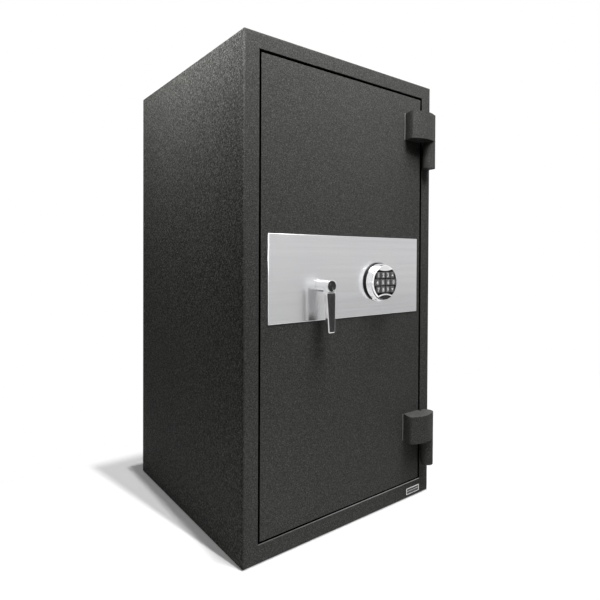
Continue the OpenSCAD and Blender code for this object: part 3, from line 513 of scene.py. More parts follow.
def added(piece, near, finish):
    """A small piece that the solids leave out, on the body of the node beside it"""
    piece.data.materials.clear()
    piece.data.materials.append(finish)
    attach(piece, BODY_OF[near])


def islands(node):
    """The lowest and highest corner of each separate solid in a node"""
    body = joined_solid(node)
    left = set(body.verts)
    found = []
    while left:
        group = [left.pop()]
        for vert in group:
            for edge in vert.link_edges:
                other = edge.other_vert(vert)
                if other in left:
                    left.remove(other)
                    group.append(other)
        found.append(boxed(vert.co for vert in group))
    body.free()
    return sorted(found, key=lambda pair: tuple(round(c, 4) for c in pair[0]))


# The outer shell, front frame and door, whose edges differ in radius
ON_SIDE = 0.0002


def sides_shared(node, first, second):
    """How many sides of the node's box both points lie on, and whether both lie on its front"""
    def both_at(axis, side):
        return abs(first[axis] - side) < ON_SIDE and abs(second[axis] - side) < ON_SIDE

    low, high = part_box(node)
    shared = sum(both_at(axis, corner[axis]) for axis in (0, 2) for corner in (low, high))
    return shared, both_at(1, low[1])


def past_door(first, second, margin=0.0):
    """Both points lie past the door's hinge side or its top"""
    beside = min(first.x, second.x) > DOOR_HIGH[0] - margin
    return beside or min(first.z, second.z) > DOOR_HIGH[2] - margin


def shell_edges(first, second):
    shared, front = sides_shared("outer_shell", first, second)
    if shared or not front:
        return 0.0
    return 1.0 if past_door(first, second) else 0.4


def frame_edges(first, second):
    shared, front = sides_shared("front_frame", first, second)
    if shared:
        return 0.0
    return 1.0 if front else 0.2


def door_edges(first, second):
    shared, front = sides_shared("door_plate", first, second)
    if not (front and shared):
        return 0.2 if shared else 0.0
    return 1.0 if past_door(first, second, 0.001) else 0.6


def band_edges(first, second):
    shared, front = sides_shared("fascia_panel", first, second)
    return 1.0 if front and shared else 0.0


def blade_edges(first, second):
    """The front edges of the lever's blade, below its barrel"""
    low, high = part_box("handle_cap")
    below = min(first.z, second.z) < low[2] - 0.006 and max(first.z, second.z) < high[2] - 0.010
    return 1.0 if below and max(first.y, second.y) < high[1] + 0.0022 else 0.0


def refinish(piece, finish, test):
    """Gives another finish to the faces that the test picks by their middle and normal"""
    piece.data.materials.append(finish)
    last = len(piece.data.materials) - 1
    for face in piece.data.polygons:
        if test(face.center, face.normal):
            face.material_index = last


# The tests below take a face's middle and normal. A normal's y is -1 on a face that looks to the
# front and 0 on one that is edge-on to it

# How far the black painted shade of the gap reaches: outward from the door, inward from its face, and
# over the door's own edges at the hinge side and top, at the lock side and at the foot
GAP_REACH = 0.0075
GAP_DEPTH = 0.014
HINGE_SIDE_BLACK = 0.0029
LOCK_SIDE_BLACK = 0.0004
FOOT_BLACK = 0.0021
# The sill's rounded edge takes bright steel, a painted highlight, and ends this far behind the door's face
SILL_EDGE = 0.0012


def in_gap_shade(middle, normal):
    """The body's side of the gap, painted black as its shade, apart from the sill's painted highlight"""
    right = DOOR_HIGH[0] < middle.x < DOOR_HIGH[0] + GAP_REACH
    left = DOOR_LOW[0] - GAP_REACH < middle.x < DOOR_LOW[0]
    above = DOOR_HIGH[2] < middle.z < DOOR_HIGH[2] + GAP_REACH
    jambs = (left or right or above) and middle.z > DOOR_LOW[2] - 0.001
    below = DOOR_LOW[2] - GAP_REACH < middle.z < DOOR_LOW[2] and abs(middle.x) < DOOR_HIGH[0] + GAP_REACH
    sill = below and middle.y > DOOR_FACE + SILL_EDGE
    return middle.y < DOOR_FACE + GAP_DEPTH and abs(normal.y) < 0.975 and (jambs or sill)


# The sill's rounded edge, whose bright steel is a painted highlight
def on_sill_highlight(middle, normal):
    below = DOOR_LOW[2] - 0.006 < middle.z < DOOR_LOW[2]
    return below and 0.2 < -normal.y < 0.98 and abs(middle.x) < DOOR_HIGH[0] + 0.003


# The door's own edges round the gap, painted black as the gap's shade
def on_door_edge(middle, normal):
    hinge_side = middle.x > DOOR_HIGH[0] - HINGE_SIDE_BLACK or middle.z > DOOR_HIGH[2] - HINGE_SIDE_BLACK
    lock_side = middle.x < DOOR_LOW[0] + LOCK_SIDE_BLACK
    foot = middle.z < DOOR_LOW[2] + FOOT_BLACK
    return abs(normal.y) < 0.95 and (hinge_side or lock_side or foot)


def on_front(middle, normal):
    return normal.y < -0.7 and middle.y < DOOR_FACE + 0.002


# The hinge plates' left edges, bare steel as wear and as a painted highlight
def on_mount_edge(middle, normal):
    return normal.x < -0.2 and middle.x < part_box("hinge_plates")[0][0] + 0.002


def on_band_edge(middle, normal):
    return -0.97 < normal.y < 0.5


shell = rounded("outer_shell", 3.6, 4, chosen=shell_edges, clamp=False)
settle(shell, "outer_shell")
# The shell's front faces take the lighter front paint, which is painted light
refinish(shell, FRONT_PAINT_PAINTED_LIGHT, on_front)
# The shell's side of the gap, painted black as its shade
refinish(shell, GAP_SHADE_BLACK, in_gap_shade)
# The sill's rounded edge takes bright steel, a painted highlight
refinish(shell, WORN_EDGE_AND_HIGHLIGHT, on_sill_highlight)

opening = rounded("front_frame", 1.2, 3, chosen=frame_edges)
settle(opening, "front_frame")
# The frame's side of the gap, painted black as its shade
refinish(opening, GAP_SHADE_BLACK, in_gap_shade)

leaf = rounded("door_plate", 2.8, 4, chosen=door_edges, clamp=False)
# The door takes the lighter front paint, which is painted light
settle(leaf, "door_plate", finish=FRONT_PAINT_PAINTED_LIGHT)
# The door's edges, painted black as the gap's shade
refinish(leaf, GAP_SHADE_BLACK, on_door_edge)

mounts = rounded("hinge_plates", 1.0, 3)
# The hinge plates take the lighter front paint, which is painted light
settle(mounts, "hinge_plates", finish=FRONT_PAINT_PAINTED_LIGHT)
# The hinge plates' left edges take bare steel, as wear and as a painted highlight
refinish(mounts, WORN_EDGE_AND_HIGHLIGHT, on_mount_edge)

band = rounded("fascia_panel", 1.2, 3, chosen=band_edges, clamp=False)
settle(band, "fascia_panel")
# The band's rounded edges take the lighter metal, a painted highlight
refinish(band, BAND_EDGE_SHEEN, on_band_edge)

grip = rounded("handle_lever", 2.4, 4, chosen=blade_edges, clamp=False)
settle(soften(grip, 1.2, 3, angle=35.0), "handle_lever")


# The other solids, with the radius of their edges in millimetres
EDGE_RADIUS = {
    "back_plate": 0.6,
    "hinge_block_upper": 1.6,
    "hinge_block_lower": 1.6,
    "hinge_knuckle_upper": 1.3,
    "hinge_knuckle_lower": 1.3,
    "hinge_washers": 0.2,
    "keypad_base": 0.9,
    "keypad_pad": 0.5,
    "battery": 2.0,
    "rear_cover": 0.6,
    "door_pan": 0.8,
    "bolt_frame": 0.4,
    "bolt_bar": 0.8,
    "bolt_guide_rail": 0.6,
    "dead_bar": 1.6,
    "locking_bolts": 0.5,
    "lock_case": 1.2,
    "lock_bolt": 0.6,
    "crank_disc": 0.5,
    "shelves": 0.6,
    "shelf_clips": 0.4,
    "inner_liner": 0.0,
    "bolt_channel": 0.8,
    "handle_spindle": 0.4,
    "handle_bush": 0.3,
    "anchor_sleeves": 0.4,
    "shelf_standards": 0.0,
}
for node, radius in EDGE_RADIUS.items():
    piece = soften(solid_copy(node, node + "_finished"), radius)
    # The hinge castings take the lighter front paint, which is painted light
    casting = node.startswith(("hinge_block_", "hinge_knuckle_"))
    settle(piece, node, finish=FRONT_PAINT_PAINTED_LIGHT if casting else None)
# The pins' lower ends under the knuckles are dark: painted over, and painted shade
settle(soften(solid_copy("hinge_pins", "hinge_pins_finished"), 1.2), "hinge_pins", finish=PIN_PAINTED_OVER_AND_SHADE)
for node, cad in CAD_NODES.items():
    cad.data.materials.clear()
    cad.data.materials.append(FINISHES[SLOT_OF[node]])


# Keys with plain numbers and two arrows
NUMERAL_HEIGHT = 14.5
NUMERAL_SWELL = 0.42
INK_THICK = 0.04
MARK_THICK = 0.06
MARK_PROUD = 0.02


def arrow(up):
    """A filled triangle, in millimetres round its middle"""
    tip = 4.0 if up else -4.0
    return [(-4.0, -tip * 0.75), (4.0, -tip * 0.75), (0.0, tip)]


def thicken(body, depth):
    """Gives a sheet that faces the viewer a thickness in millimetres, in the same order each run"""
    rim = [edge for edge in body.edges if edge.is_boundary]
    sheet = list(body.faces)
    behind = {vert: body.verts.new((vert.co.x, vert.co.y + depth * MM, vert.co.z))
              for vert in list(body.verts)}
    for face in sheet:
        body.faces.new([behind[vert] for vert in face.verts])
    for edge in rim:
        first, second = edge.verts
        body.faces.new([first, second, behind[second], behind[first]])
    bmesh.ops.recalc_face_normals(body, faces=body.faces)


def flat_shape(points, depth, front, centre, name):
    """A thin plate with this outline in the door's plane; front is its face's distance before the door"""
    body = bmesh.new()
    y = DOOR_FACE - front * MM
    body.faces.new([body.verts.new((centre[0] + x * MM, y, centre[1] + z * MM)) for x, z in points])
    thicken(body, depth)
    return mesh_from(body, name)


def numeral(sign, front, centre, name):
    """A printed sign in the default font, standing in the door's plane"""
    curve = bpy.data.curves.new(name, "FONT")
    curve.body = sign
    curve.size = NUMERAL_HEIGHT * MM
    curve.extrude = INK_THICK * MM
    curve.offset = NUMERAL_SWELL * MM
    curve.resolution_u = 4
    flat = plain(shown(name, curve), name + "_print")
    mesh = flat.data
    bpy.data.objects.remove(flat)
    low, high = boxed(vert.co for vert in mesh.vertices)
    upright = Euler((math.pi / 2, 0, 0)).to_matrix().to_4x4()
    stand = Matrix.Translation((centre[0], DOOR_FACE - front * MM, centre[1])) @ upright
    mesh.transform(stand @ Matrix.Translation(-(low + high) / 2))
    return mesh


def marked(cap, mark):
    """Joins a mark to a key, with the key's rubber and the mark's ink"""
    body = bmesh.new()
    body.from_mesh(cap.data)
    count = len(body.faces)
    body.from_mesh(mark)
    body.faces.ensure_lookup_table()
    for index, face in enumerate(body.faces):
        face.material_index = 1 if index >= count else 0
    cap.data.materials.clear()
    cap.data.materials.append(FINISHES["key_rubber"])
    cap.data.materials.append(KEY_INK)
    body.to_mesh(cap.data)
    body.free()


for node in [n for n in CAD_NODES if n.startswith("key_")]:
    cap = plain(soften(solid_copy(node, node + "_cap"), 1.1, 3), node + "_moulded")
    sign = node.split("_")[1]
    proud = (DOOR_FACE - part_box(node)[0][1]) / MM + MARK_PROUD
    if sign in ("up", "down"):
        mark = flat_shape(arrow(sign == "up"), MARK_THICK, proud, middle_of(node), node + "_mark")
    else:
        mark = numeral(sign, proud, middle_of(node), node + "_mark")
    marked(cap, mark)
    settle(cap, node)


# The cap in the barrel's end, with turned rings
TURN_STEPS = 96


def turned(profile, centre, name):
    """A shape turned about an axis square to the door: (radius, distance before the door) in millimetres"""
    body = bmesh.new()
    rings = []
    for radius, out in profile:
        ring = []
        for step in range(TURN_STEPS if radius else 1):
            angle = 2 * math.pi * step / TURN_STEPS
            ring.append(body.verts.new((centre[0] + radius * MM * math.cos(angle), DOOR_FACE - out * MM,
                                        centre[1] + radius * MM * math.sin(angle))))
        rings.append(ring)
    for inner, outer in zip(rings, rings[1:]):
        for step in range(TURN_STEPS):
            after = (step + 1) % TURN_STEPS
            corners = [inner[step % len(inner)], outer[step % len(outer)], outer[after % len(outer)],
                       inner[after % len(inner)]]
            unique = list(dict.fromkeys(corners))
            if len(unique) > 2:
                body.faces.new(unique)
    bmesh.ops.recalc_face_normals(body, faces=body.faces)
    return shown(name, mesh_from(body, name))


# The cap's outer chamfer, and its grooves: the inset and depth of each one's corners
CAP_CHAMFER = 0.4
GROOVE = 0.3
GROOVE_CORNERS = ((0.0, 0.0), (0.25, GROOVE), (0.7, GROOVE), (0.95, 0.0))
RINGS = 4
FIRST_RING = 1.6
RING_PITCH = 2.5
low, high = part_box("handle_cap")
cap_radius = (high[0] - low[0]) / 2 / MM
cap_front = (DOOR_FACE - low[1]) / MM
cap_back = (DOOR_FACE - high[1]) / MM
profile = [(0.0, cap_back), (cap_radius, cap_back), (cap_radius, cap_front - GROOVE),
           (cap_radius - CAP_CHAMFER, cap_front)]
for ring in range(RINGS):
    outer = cap_radius - FIRST_RING - ring * RING_PITCH
    profile += [(outer - inset, cap_front - depth) for inset, depth in GROOVE_CORNERS]
profile.append((0.0, cap_front))
end_cap = turned(profile, middle_of("handle_cap"), "barrel_end_cap")
settle(soften(end_cap, 0.0, angle=24), "handle_cap")


# A bright washer between the barrel and the band
collar = turned([(12.6, 2.0), (16.3, 2.0), (16.3, 2.6), (16.1, 2.8), (12.6, 2.8), (12.6, 2.0)],
                middle_of("handle_cap"), "barrel_collar")
added(soften(collar, 0.0, angle=24), "fascia_panel", FINISHES["bolt_steel"])


# The keypad's housing, a little narrower at its front than at its foot
HOUSING_LOW, HOUSING_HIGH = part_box("keypad_housing")
HOUSING_FRONT = (DOOR_FACE - HOUSING_LOW[1]) / MM
HOUSING_FOOT = (DOOR_FACE - HOUSING_HIGH[1]) / MM
HOUSING_R = (HOUSING_HIGH[0] - HOUSING_LOW[0]) / 2 / MM
HOUSING_ROUND = 7.5
HOUSING_FLAT = HOUSING_R - HOUSING_ROUND
DRAFT = 0.30


def drawn_in(x, z, out):
    """A point of the housing, in millimetres from its axis and the door, moved in by the draft"""
    radius = math.hypot(x, z)
    if radius <= HOUSING_FLAT:
        return x, z
    rise = min(1.0, max(0.0, (out - HOUSING_FOOT) / (HOUSING_FRONT - HOUSING_FOOT)))
    share = (HOUSING_FLAT + (radius - HOUSING_FLAT) * (1 - DRAFT * rise)) / radius
    return x * share, z * share


def housing_height(radius):
    """How far the housing's rounded front stands before the door at this radius"""
    if radius <= HOUSING_FLAT:
        return HOUSING_FRONT
    rise = math.sqrt(max(0.0, HOUSING_ROUND ** 2 - (radius - HOUSING_FLAT) ** 2))
    return HOUSING_FRONT - HOUSING_ROUND + rise


def keypad_point(x, z, out):
    """A drafted point of the housing, from millimetres to the frame's metres"""
    x, z = drawn_in(x, z, out)
    return (KEYPAD[0] + x * MM, DOOR_FACE - out * MM, KEYPAD[1] + z * MM)


for node in ("keypad_housing", "battery_drawer"):
    moulded = solid_copy(node, node + "_finished")
    for vert in moulded.data.vertices:
        vert.co = Vector(keypad_point((vert.co.x - KEYPAD[0]) / MM, (vert.co.z - KEYPAD[1]) / MM,
                                      (DOOR_FACE - vert.co.y) / MM))
    settle(soften(moulded, 0.0, angle=28), node)


# The plain smoked panel under the keypad's arch: a skin over the housing's curve, where a circle round
# the keypad meets the arch's circle below it, in millimetres
LENS_INSET = 0.4
LENS_OUTER = 49.75 - LENS_INSET
LENS_ARCH = 68.3 - LENS_INSET
ARCH_DROP = 104.0
LENS_SINK = 0.15
LENS_THICK = 0.4
LENS_ACROSS = 40
LENS_UP = 8
LENS_MERGE = 0.05


def lens_panel(name):
    meet_z = (LENS_ARCH ** 2 - LENS_OUTER ** 2 - ARCH_DROP ** 2) / (2 * ARCH_DROP)
    meet_x = math.sqrt(LENS_OUTER ** 2 - meet_z ** 2)
    low_turn = math.atan2(meet_x, -meet_z)
    top_turn = math.atan2(meet_x, meet_z + ARCH_DROP)
    body = bmesh.new()
    columns = []
    for i in range(LENS_ACROSS + 1):
        turn = 2 * i / LENS_ACROSS - 1
        under = Vector((LENS_OUTER * math.sin(low_turn * turn), -LENS_OUTER * math.cos(low_turn * turn)))
        over = Vector((LENS_ARCH * math.sin(top_turn * turn),
                       -ARCH_DROP + LENS_ARCH * math.cos(top_turn * turn)))
        column = []
        for j in range(LENS_UP + 1):
            x, z = under.lerp(over, j / LENS_UP)
            out = housing_height(math.hypot(x, z)) - LENS_SINK
            column.append(body.verts.new(keypad_point(x, z, out)))
        columns.append(column)
    for left, right in zip(columns, columns[1:]):
        for j in range(LENS_UP):
            body.faces.new([left[j], right[j], right[j + 1], left[j + 1]])
    bmesh.ops.remove_doubles(body, verts=body.verts, dist=LENS_MERGE * MM)
    thicken(body, LENS_THICK)
    return shown(name, mesh_from(body, name))


added(soften(lens_panel("smoked_panel"), 0.0, angle=40), "battery_drawer", SMOKED_LENS)


# A thin dark ring round the steel band: its joint, and painted shade along the band's edges
def border(low, high, wide, depth, front, name):
    """A flat ring round a rectangle in the door's plane, in metres, with its width in millimetres"""
    wide *= MM
    body = bmesh.new()
    y = DOOR_FACE - front * MM
    corners = [(low[0], low[2]), (high[0], low[2]), (high[0], high[2]), (low[0], high[2])]
    inner = [body.verts.new((x, y, z)) for x, z in corners]
    outer = [body.verts.new((x + s * wide, y, z + t * wide)) for (x, z), (s, t) in zip(corners, SQUARE)]
    for i in range(4):
        j = (i + 1) % 4
        body.faces.new([inner[i], inner[j], outer[j], outer[i]])
    thicken(body, depth)
    return shown(name, mesh_from(body, name))


low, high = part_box("fascia_panel")
added(soften(border(low, high, 1.1, 0.5, 0.5, "band_joint"), 0.15), "fascia_panel", FINISHES["seal_rubber"])

# The plate's two plain dark panels: width, height and rise from its middle, in millimetres
PANELS = [(53.0, 6.2, 4.0), (53.0, 7.4, -3.8)]
PANEL_THICK = 0.05
PANEL_PROUD = 0.03
plate_front = (DOOR_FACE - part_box("rating_plate")[0][1]) / MM
settle(soften(solid_copy("rating_plate", "foil_plate"), 0.25), "rating_plate")
for index, (width, height, rise) in enumerate(PANELS):
    corners = [(x * width / 2, rise + z * height / 2) for x, z in SQUARE]
    mesh = flat_shape(corners, PANEL_THICK, plate_front + PANEL_PROUD, middle_of("rating_plate"), "panel")
    added(shown(f"foil_plate_panel_{index}", mesh), "rating_plate", ETCHED)


# Fasteners and weld beads, made by rule
def rule_tree(name, sizes):
    """A geometry tree with inputs for these sizes; gives its bench and the wires of its inputs"""
    tree = bpy.data.node_groups.new(name, "GeometryNodeTree")
    kinds = {"Spots": "Geometry", **dict.fromkeys(sizes, "Float"), "Turn": "Vector", "Finish": "Material"}
    for label, kind in kinds.items():
        tree.interface.new_socket(name=label, in_out="INPUT", socket_type="NodeSocket" + kind)
    tree.interface.new_socket(name="Made", in_out="OUTPUT", socket_type="NodeSocketGeometry")
    bench = Bench(tree)
    return bench, {label: bench.node("NodeGroupInput", out=label) for label in kinds}


def rod(bench, sides, radius, length, rise):
    """A cylinder or prism along Z whose middle is raised by this much"""
    shape = bench.node("GeometryNodeMeshCylinder", None,
                       {"Vertices": sides, "Radius": radius, "Depth": length})
    lift = bench.node("ShaderNodeCombineXYZ", None, {"Z": rise})
    return bench.node("GeometryNodeTransform", None, {"Geometry": shape, "Translation": lift})


def screw_rule():
    """A round head with a six-sided socket, and its shank, on every spot"""
    bench, size = rule_tree("screws", ["Head Radius", "Head Height", "Socket Radius", "Socket Depth",
                                       "Shank Radius", "Shank Length"])
    head = rod(bench, 40, size["Head Radius"], size["Head Height"], size["Head Height"] * 0.5)
    socket = rod(bench, 6, size["Socket Radius"], size["Socket Depth"] * 2.0, size["Head Height"])
    shank = rod(bench, 24, size["Shank Radius"], size["Shank Length"], -(size["Shank Length"] * 0.5))
    cut = bench.node("GeometryNodeMeshBoolean", {"operation": "DIFFERENCE"},
                     {"Mesh 1": head, "Mesh 2": socket})
    whole = bench.node("GeometryNodeJoinGeometry", None, {"Geometry": [cut, shank]})
    return finish_rule(bench, size, whole)


def bead_rule():
    """A flattened bead of weld metal on every spot"""
    bench, size = rule_tree("weld_beads", ["Bead Length", "Bead Width"])
    ball = bench.node("GeometryNodeMeshUVSphere", None, {"Segments": 12, "Rings": 8, "Radius": 0.5})
    stretch = bench.node("ShaderNodeCombineXYZ", None,
                         {"X": size["Bead Width"], "Y": size["Bead Width"], "Z": size["Bead Length"]})
    drawn = bench.node("GeometryNodeTransform", None, {"Geometry": ball, "Scale": stretch})
    return finish_rule(bench, size, drawn)


def finish_rule(bench, size, shape):
    """Puts the shape on every spot and ends the tree in plain geometry with its finish"""
    spread = bench.node("GeometryNodeInstanceOnPoints", None,
                        {"Points": size["Spots"], "Instance": shape, "Rotation": size["Turn"]})
    real = bench.node("GeometryNodeRealizeInstances", None, {"Geometry": spread})
    painted = bench.node("GeometryNodeSetMaterial", None, {"Geometry": real, "Material": size["Finish"]})
    bench.node("NodeGroupOutput", None, {"Made": painted})
    return bench.tree


def by_rule(name, tree, spots, finish, **sizes):
    """The tree's shape on these spots, as a plain mesh"""
    mesh = bpy.data.meshes.new(name + "_spots")
    mesh.from_pydata([tuple(s) for s in spots], [], [])
    holder = shown(name + "_rule", mesh)
    made = holder.modifiers.new("rule", "NODES")
    made.node_group = tree
    values = {key.replace("_", " "): value for key, value in sizes.items()}
    values["Finish"] = finish
    for item in tree.interface.items_tree:
        if item.in_out == "INPUT" and item.name in values:
            made[item.identifier] = values[item.name]
    result = plain(holder, name)
    result.data.materials.clear()
    result.data.materials.append(finish)
    return result


SCREWS = screw_rule()
BEADS = bead_rule()

# The screws' sizes, and the turn that points their heads to the back of the safe
HEAD_HEIGHT = 2.5 * MM
HEAD_RADIUS = 5.0 * MM
SHANK_RADIUS = 2.5 * MM
SOCKET_RADIUS = 2.3 * MM
SOCKET_DEPTH = 1.4 * MM
HEAD_BACK = (-math.pi / 2, 0.0, 0.0)


def socket_screws(node):
    """Screws in place of a node's plain ones, with the same heads and ends"""
    boxes = islands(node)
    spots = [((low.x + high.x) / 2, high.y - HEAD_HEIGHT, (low.z + high.z) / 2) for low, high in boxes]
    low, high = boxes[0]
    made = by_rule(node + "_cut", SCREWS, spots, FINISHES[SLOT_OF[node]], Head_Radius=HEAD_RADIUS,
                   Head_Height=HEAD_HEIGHT, Socket_Radius=SOCKET_RADIUS, Socket_Depth=SOCKET_DEPTH,
                   Shank_Radius=SHANK_RADIUS, Shank_Length=(high.y - low.y) - HEAD_HEIGHT, Turn=HEAD_BACK)
    settle(soften(made, 0.25), node)


socket_screws("cover_screws")
socket_screws("lock_screws")

# Stitches of weld where the back plate meets the shell, in metres
BEAD_LENGTH = 0.0042
BEAD_WIDTH = 0.0036
BEAD_STEP = 0.0026
BEADS_A_STITCH = 14
WELD_INSET = 0.0012
WELD_SINK = 0.0004
BACK_LOW, BACK_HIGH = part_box("back_plate")
WELD_PLANE = BACK_HIGH[1] - WELD_SINK


def weld_stitches(name, count, first, pitch, pair, turn):
    """Two lines of stitches; pair gives the two spots at one place along the lines"""
    beads = []
    for stitch in range(count):
        for step in range(BEADS_A_STITCH):
            beads += pair(first + stitch * pitch + step * BEAD_STEP)
    made = by_rule(name, BEADS, beads, FINISHES["body_paint"], Bead_Length=BEAD_LENGTH,
                   Bead_Width=BEAD_WIDTH, Turn=turn)
    added(soften(made, 0.0), "back_plate", FINISHES["body_paint"])


def upright_pair(z):
    return [(BACK_LOW[0] + WELD_INSET, WELD_PLANE, z), (BACK_HIGH[0] - WELD_INSET, WELD_PLANE, z)]


def level_pair(x):
    return [(x, WELD_PLANE, BACK_LOW[2] + WELD_INSET), (x, WELD_PLANE, BACK_HIGH[2] - WELD_INSET)]


weld_stitches("back_welds_upright", 7, 0.10, 0.175, upright_pair, (0.0, 0.0, 0.0))
weld_stitches("back_welds_level", 4, -0.26, 0.162, level_pair, (0.0, math.pi / 2, 0.0))


# Camera, fitted to the body's corners in the photograph, which is 600 by 600 pixels
FRAME_SIDE = 600
FOCAL_LENGTH = 488.26
HORIZON_ROW = 262.5
SENSOR = 36.0
EYE = (-0.9169, -1.3084, 0.7348)
AROUND = math.radians(37.25)
TILT = math.radians(-0.672)
ROLL = math.radians(0.2655)


def photo_camera():
    level_share = math.cos(TILT)
    ahead = Vector((math.sin(AROUND) * level_share, math.cos(AROUND) * level_share, math.sin(TILT)))
    right = Vector((math.cos(AROUND), -math.sin(AROUND), 0.0))
    up = right.cross(ahead)
    rolled_right = right * math.cos(ROLL) + up * math.sin(ROLL)
    rolled_up = -right * math.sin(ROLL) + up * math.cos(ROLL)
    lens = bpy.data.cameras.new("photo_camera")
    lens.sensor_width = SENSOR
    lens.lens = FOCAL_LENGTH / FRAME_SIDE * SENSOR
    lens.shift_y = (HORIZON_ROW - FRAME_SIDE / 2) / FRAME_SIDE
    lens.clip_start = 0.05
    lens.clip_end = 60.0
    camera = bpy.data.objects.new("photo_camera", lens)
    axes = Matrix((rolled_right, rolled_up, -ahead)).transposed().to_4x4()
    camera.matrix_world = Matrix.Translation(EYE) @ axes
    bpy.context.scene.collection.objects.link(camera)
    bpy.context.scene.camera = camera


photo_camera()


# Studio: white floor and backdrop, soft lamps
FLOOR_REACH = 9.0
FLOOR_HEIGHT = -0.0002


def seen_share(bench):
    """1 for rays that show the background: straight from the camera, off gloss or through glass"""
    camera, gloss, glass = [bench.node("ShaderNodeLightPath", out=f"Is {ray} Ray")
                            for ray in ("Camera", "Glossy", "Transmission")]
    return bench.node("ShaderNodeClamp", None, {"Value": camera + gloss + glass})


def along(bench, way, axis):
    """How far a direction points along an axis"""
    return bench.node("ShaderNodeVectorMath", {"operation": "DOT_PRODUCT"}, {0: way, 1: axis}, out="Value")


def studio_world():
    """White air that metal sees darker to the right of the camera and behind the body"""
    world = bpy.data.worlds.new("studio")
    world.use_nodes = True
    bpy.context.scene.world = world
    bench = Bench(world.node_tree)
    seen = seen_share(bench)
    gloss = bench.node("ShaderNodeLightPath", out="Is Glossy Ray")
    way = bench.node("ShaderNodeTexCoord", out="Generated")
    before = bench.smooth(along(bench, way, (0.66, -0.75, 0.0)), 0.72, 0.95)
    behind = bench.smooth(along(bench, way, (-0.6, 0.8, 0.0)), 0.25, 0.85)
    dim = (before * 0.25 + behind * 0.84) * gloss
    air = bench.node("ShaderNodeBackground", None,
                     {"Color": (1.0, 1.0, 1.0, 1.0), "Strength": 0.09 + seen * 0.91 - dim})
    bench.node("ShaderNodeOutputWorld", None, {"Surface": air})


def studio_floor():
    """Paper that keeps the shadow, white behind the body and far away. Metal sees it darker than the air,
    most at the right, as in the photograph, and it throws light back up only beside the body"""
    body = bmesh.new()
    body.faces.new([body.verts.new((x * FLOOR_REACH, y * FLOOR_REACH, FLOOR_HEIGHT)) for x, y in SQUARE])
    floor = shown("studio_floor", mesh_from(body, "studio_floor"))
    f = Finish("studio_floor")
    seen = seen_share(f)
    gloss = f.node("ShaderNodeLightPath", out="Is Glossy Ray")
    reach = f.node("ShaderNodeVectorMath", {"operation": "LENGTH"}, {0: f.place}, out="Value")
    far = f.node("ShaderNodeClamp", None,
                 {"Value": f.smooth(reach, 1.2, 2.6) + f.smooth(f.axis("Y"), 0.43, 0.52)})
    near = (1.0 - f.smooth(reach, 0.35, 1.3)) * (0.45 + f.smooth(f.axis("X"), -0.45, -0.25) * 0.55)
    paper = f.node("ShaderNodeBsdfDiffuse", None, {"Color": grey(0.80)})
    right = f.smooth(f.axis("X"), -0.3, 1.2)
    left = f.smooth(f.axis("Y"), -0.3, 0.2) * (1.0 - f.smooth(f.axis("X"), -0.9, -0.4))
    lift = f.node("ShaderNodeEmission", None, {"Color": grey(1.0), "Strength": 0.15 - gloss * 0.115})
    bright = f.node("ShaderNodeAddShader", None, {0: paper, 1: lift})
    white = f.node("ShaderNodeEmission", None,
                   {"Color": grey(1.0), "Strength": 1.0 - gloss * (0.16 + right * 0.30 + left * 0.60)})
    backdrop = f.node("ShaderNodeMixShader", None, {0: far, 1: bright, 2: white})
    dim = f.node("ShaderNodeBsdfDiffuse", None, {"Color": f.colours(near, grey(0.03), grey(0.26))})
    mix = f.node("ShaderNodeMixShader", None, {0: seen, 1: dim, 2: backdrop})
    f.node("ShaderNodeOutputMaterial", None, {"Surface": mix})
    floor.data.materials.append(f.material)
    return floor


def hung(lamp, place, aim):
    """The lamp at a place, pointing along a direction"""
    holder = bpy.data.objects.new(lamp.name, lamp)
    turn = Vector(aim).to_track_quat("-Z", "Y").to_matrix().to_4x4()
    holder.matrix_world = Matrix.Translation(place) @ turn
    bpy.context.scene.collection.objects.link(holder)
    return holder


def soft_lamp(name, place, target, size, watts, spread=180.0, length=None):
    """A square or oblong lamp at a place, turned to its target, that the camera doesn't see"""
    lamp = bpy.data.lights.new(name, "AREA")
    lamp.shape = "RECTANGLE"
    lamp.size = length or size
    lamp.size_y = size
    lamp.energy = watts
    lamp.spread = math.radians(spread)
    holder = hung(lamp, place, Vector(target) - Vector(place))
    holder.visible_camera = False
    return holder


def distant_lamp(name, travel, strength, spread):
    """A lamp far away whose light travels along a direction"""
    lamp = bpy.data.lights.new(name, "SUN")
    lamp.energy = strength
    lamp.angle = math.radians(spread)
    return hung(lamp, (0.0, 0.0, 0.0), travel)


def grouped(name, pieces, left_out=False):
    """A collection of what a lamp lights, or of what its light passes over"""
    group = bpy.data.collections.new(name)
    for piece in pieces:
        group.objects.link(piece)
    if left_out:
        for entry in group.collection_objects:
            entry.light_linking.link_state = "EXCLUDE"
    return group


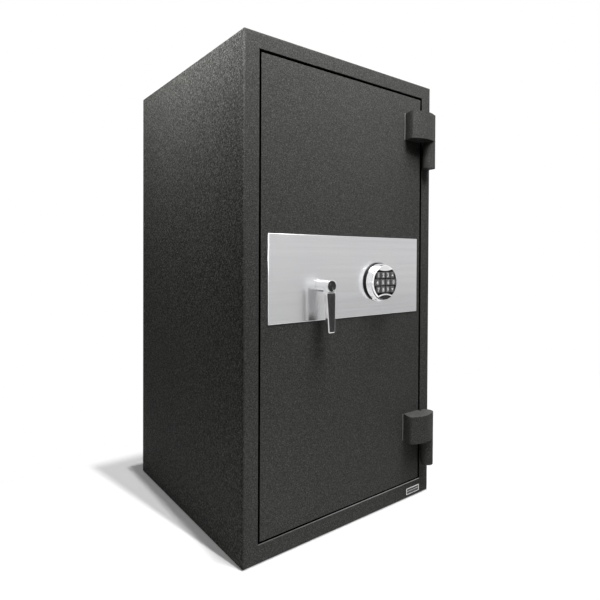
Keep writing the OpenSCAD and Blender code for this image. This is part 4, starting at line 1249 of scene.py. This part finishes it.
def dark_card(centre, facing, width, height):
    """A black card beside the camera that only gloss sees, as a studio uses to darken a polished face"""
    body = bmesh.new()
    across = Vector((-facing[1], facing[0], 0.0)).normalized() * width / 2
    rise = Vector((0.0, 0.0, height / 2))
    middle = Vector(centre)
    body.faces.new([body.verts.new(middle + across * s + rise * t) for s, t in SQUARE])
    card = shown("dark_card", mesh_from(body, "dark_card"))
    f = Finish("dark_card")
    black = f.node("ShaderNodeEmission", None, {"Color": grey(0.05), "Strength": 1.0})
    f.node("ShaderNodeOutputMaterial", None, {"Surface": black})
    card.data.materials.append(f.material)
    for ray in ("camera", "diffuse", "shadow", "transmission"):
        setattr(card, "visible_" + ray, False)


studio_world()
paper = studio_floor()

# The floor's own lamps pass over what stands before the door, so that only the body throws a shadow
standing_proud = [piece for piece in bpy.data.objects
                  if piece.name.startswith(("hinge_", "handle_", "keypad_"))]
for lamp in (distant_lamp("paper_far", (-0.0863, 0.5326, -0.842), 2.05, 1.6),
             distant_lamp("paper_near", (-0.022, 0.055, -1.0), 1.50, 1.2)):
    lamp.light_linking.receiver_collection = grouped(lamp.name + "_lights", [paper])
    lamp.light_linking.blocker_collection = grouped(lamp.name + "_passes", standing_proud, True)

# The body's lamps leave the floor out, and the inside has one of its own
for lamp in (distant_lamp("overhead_soft", (-0.09, 0.13, -1.0), 3.3, 24.0),
             soft_lamp("front_lamp", (-0.05, -1.05, 1.95), (0.0, -0.33, 1.0), 0.7, 24.0),
             soft_lamp("rear_fill", (2.0, 1.9, 1.7), (0.1, 0.2, 0.6), 1.2, 55.0),
             soft_lamp("foot_lamp", (-0.75, -1.0, 0.22), (-0.20, -0.30, 0.10), 0.3, 0.5, 70.0, length=0.8),
             soft_lamp("side_lamp", (-0.62, -0.03, 1.60), (-0.34, -0.03, 1.22), 0.14, 9.0, 130.0,
                       length=0.8)):
    lamp.light_linking.receiver_collection = grouped(lamp.name + "_skips", [paper], True)
    lamp.visible_glossy = lamp.name not in ("foot_lamp", "rear_fill")
inside_lamp = soft_lamp("inside_lamp", (-0.1, -1.5, 1.1), (0.0, 0.1, 0.6), 0.6, 16.0)
inside = [piece for piece in bpy.data.objects
          if piece.name.startswith(("inner_liner", "shel", "anchor"))]
inside_lamp.light_linking.receiver_collection = grouped("inside_lamp_lights", inside)

# The card that darkens the flat face of the lever's blade
dark_card((-0.0715, -0.420, 0.5815), (0.652, -0.756), 0.036, 0.123)
bpy.context.scene.view_settings.view_transform = "Standard"
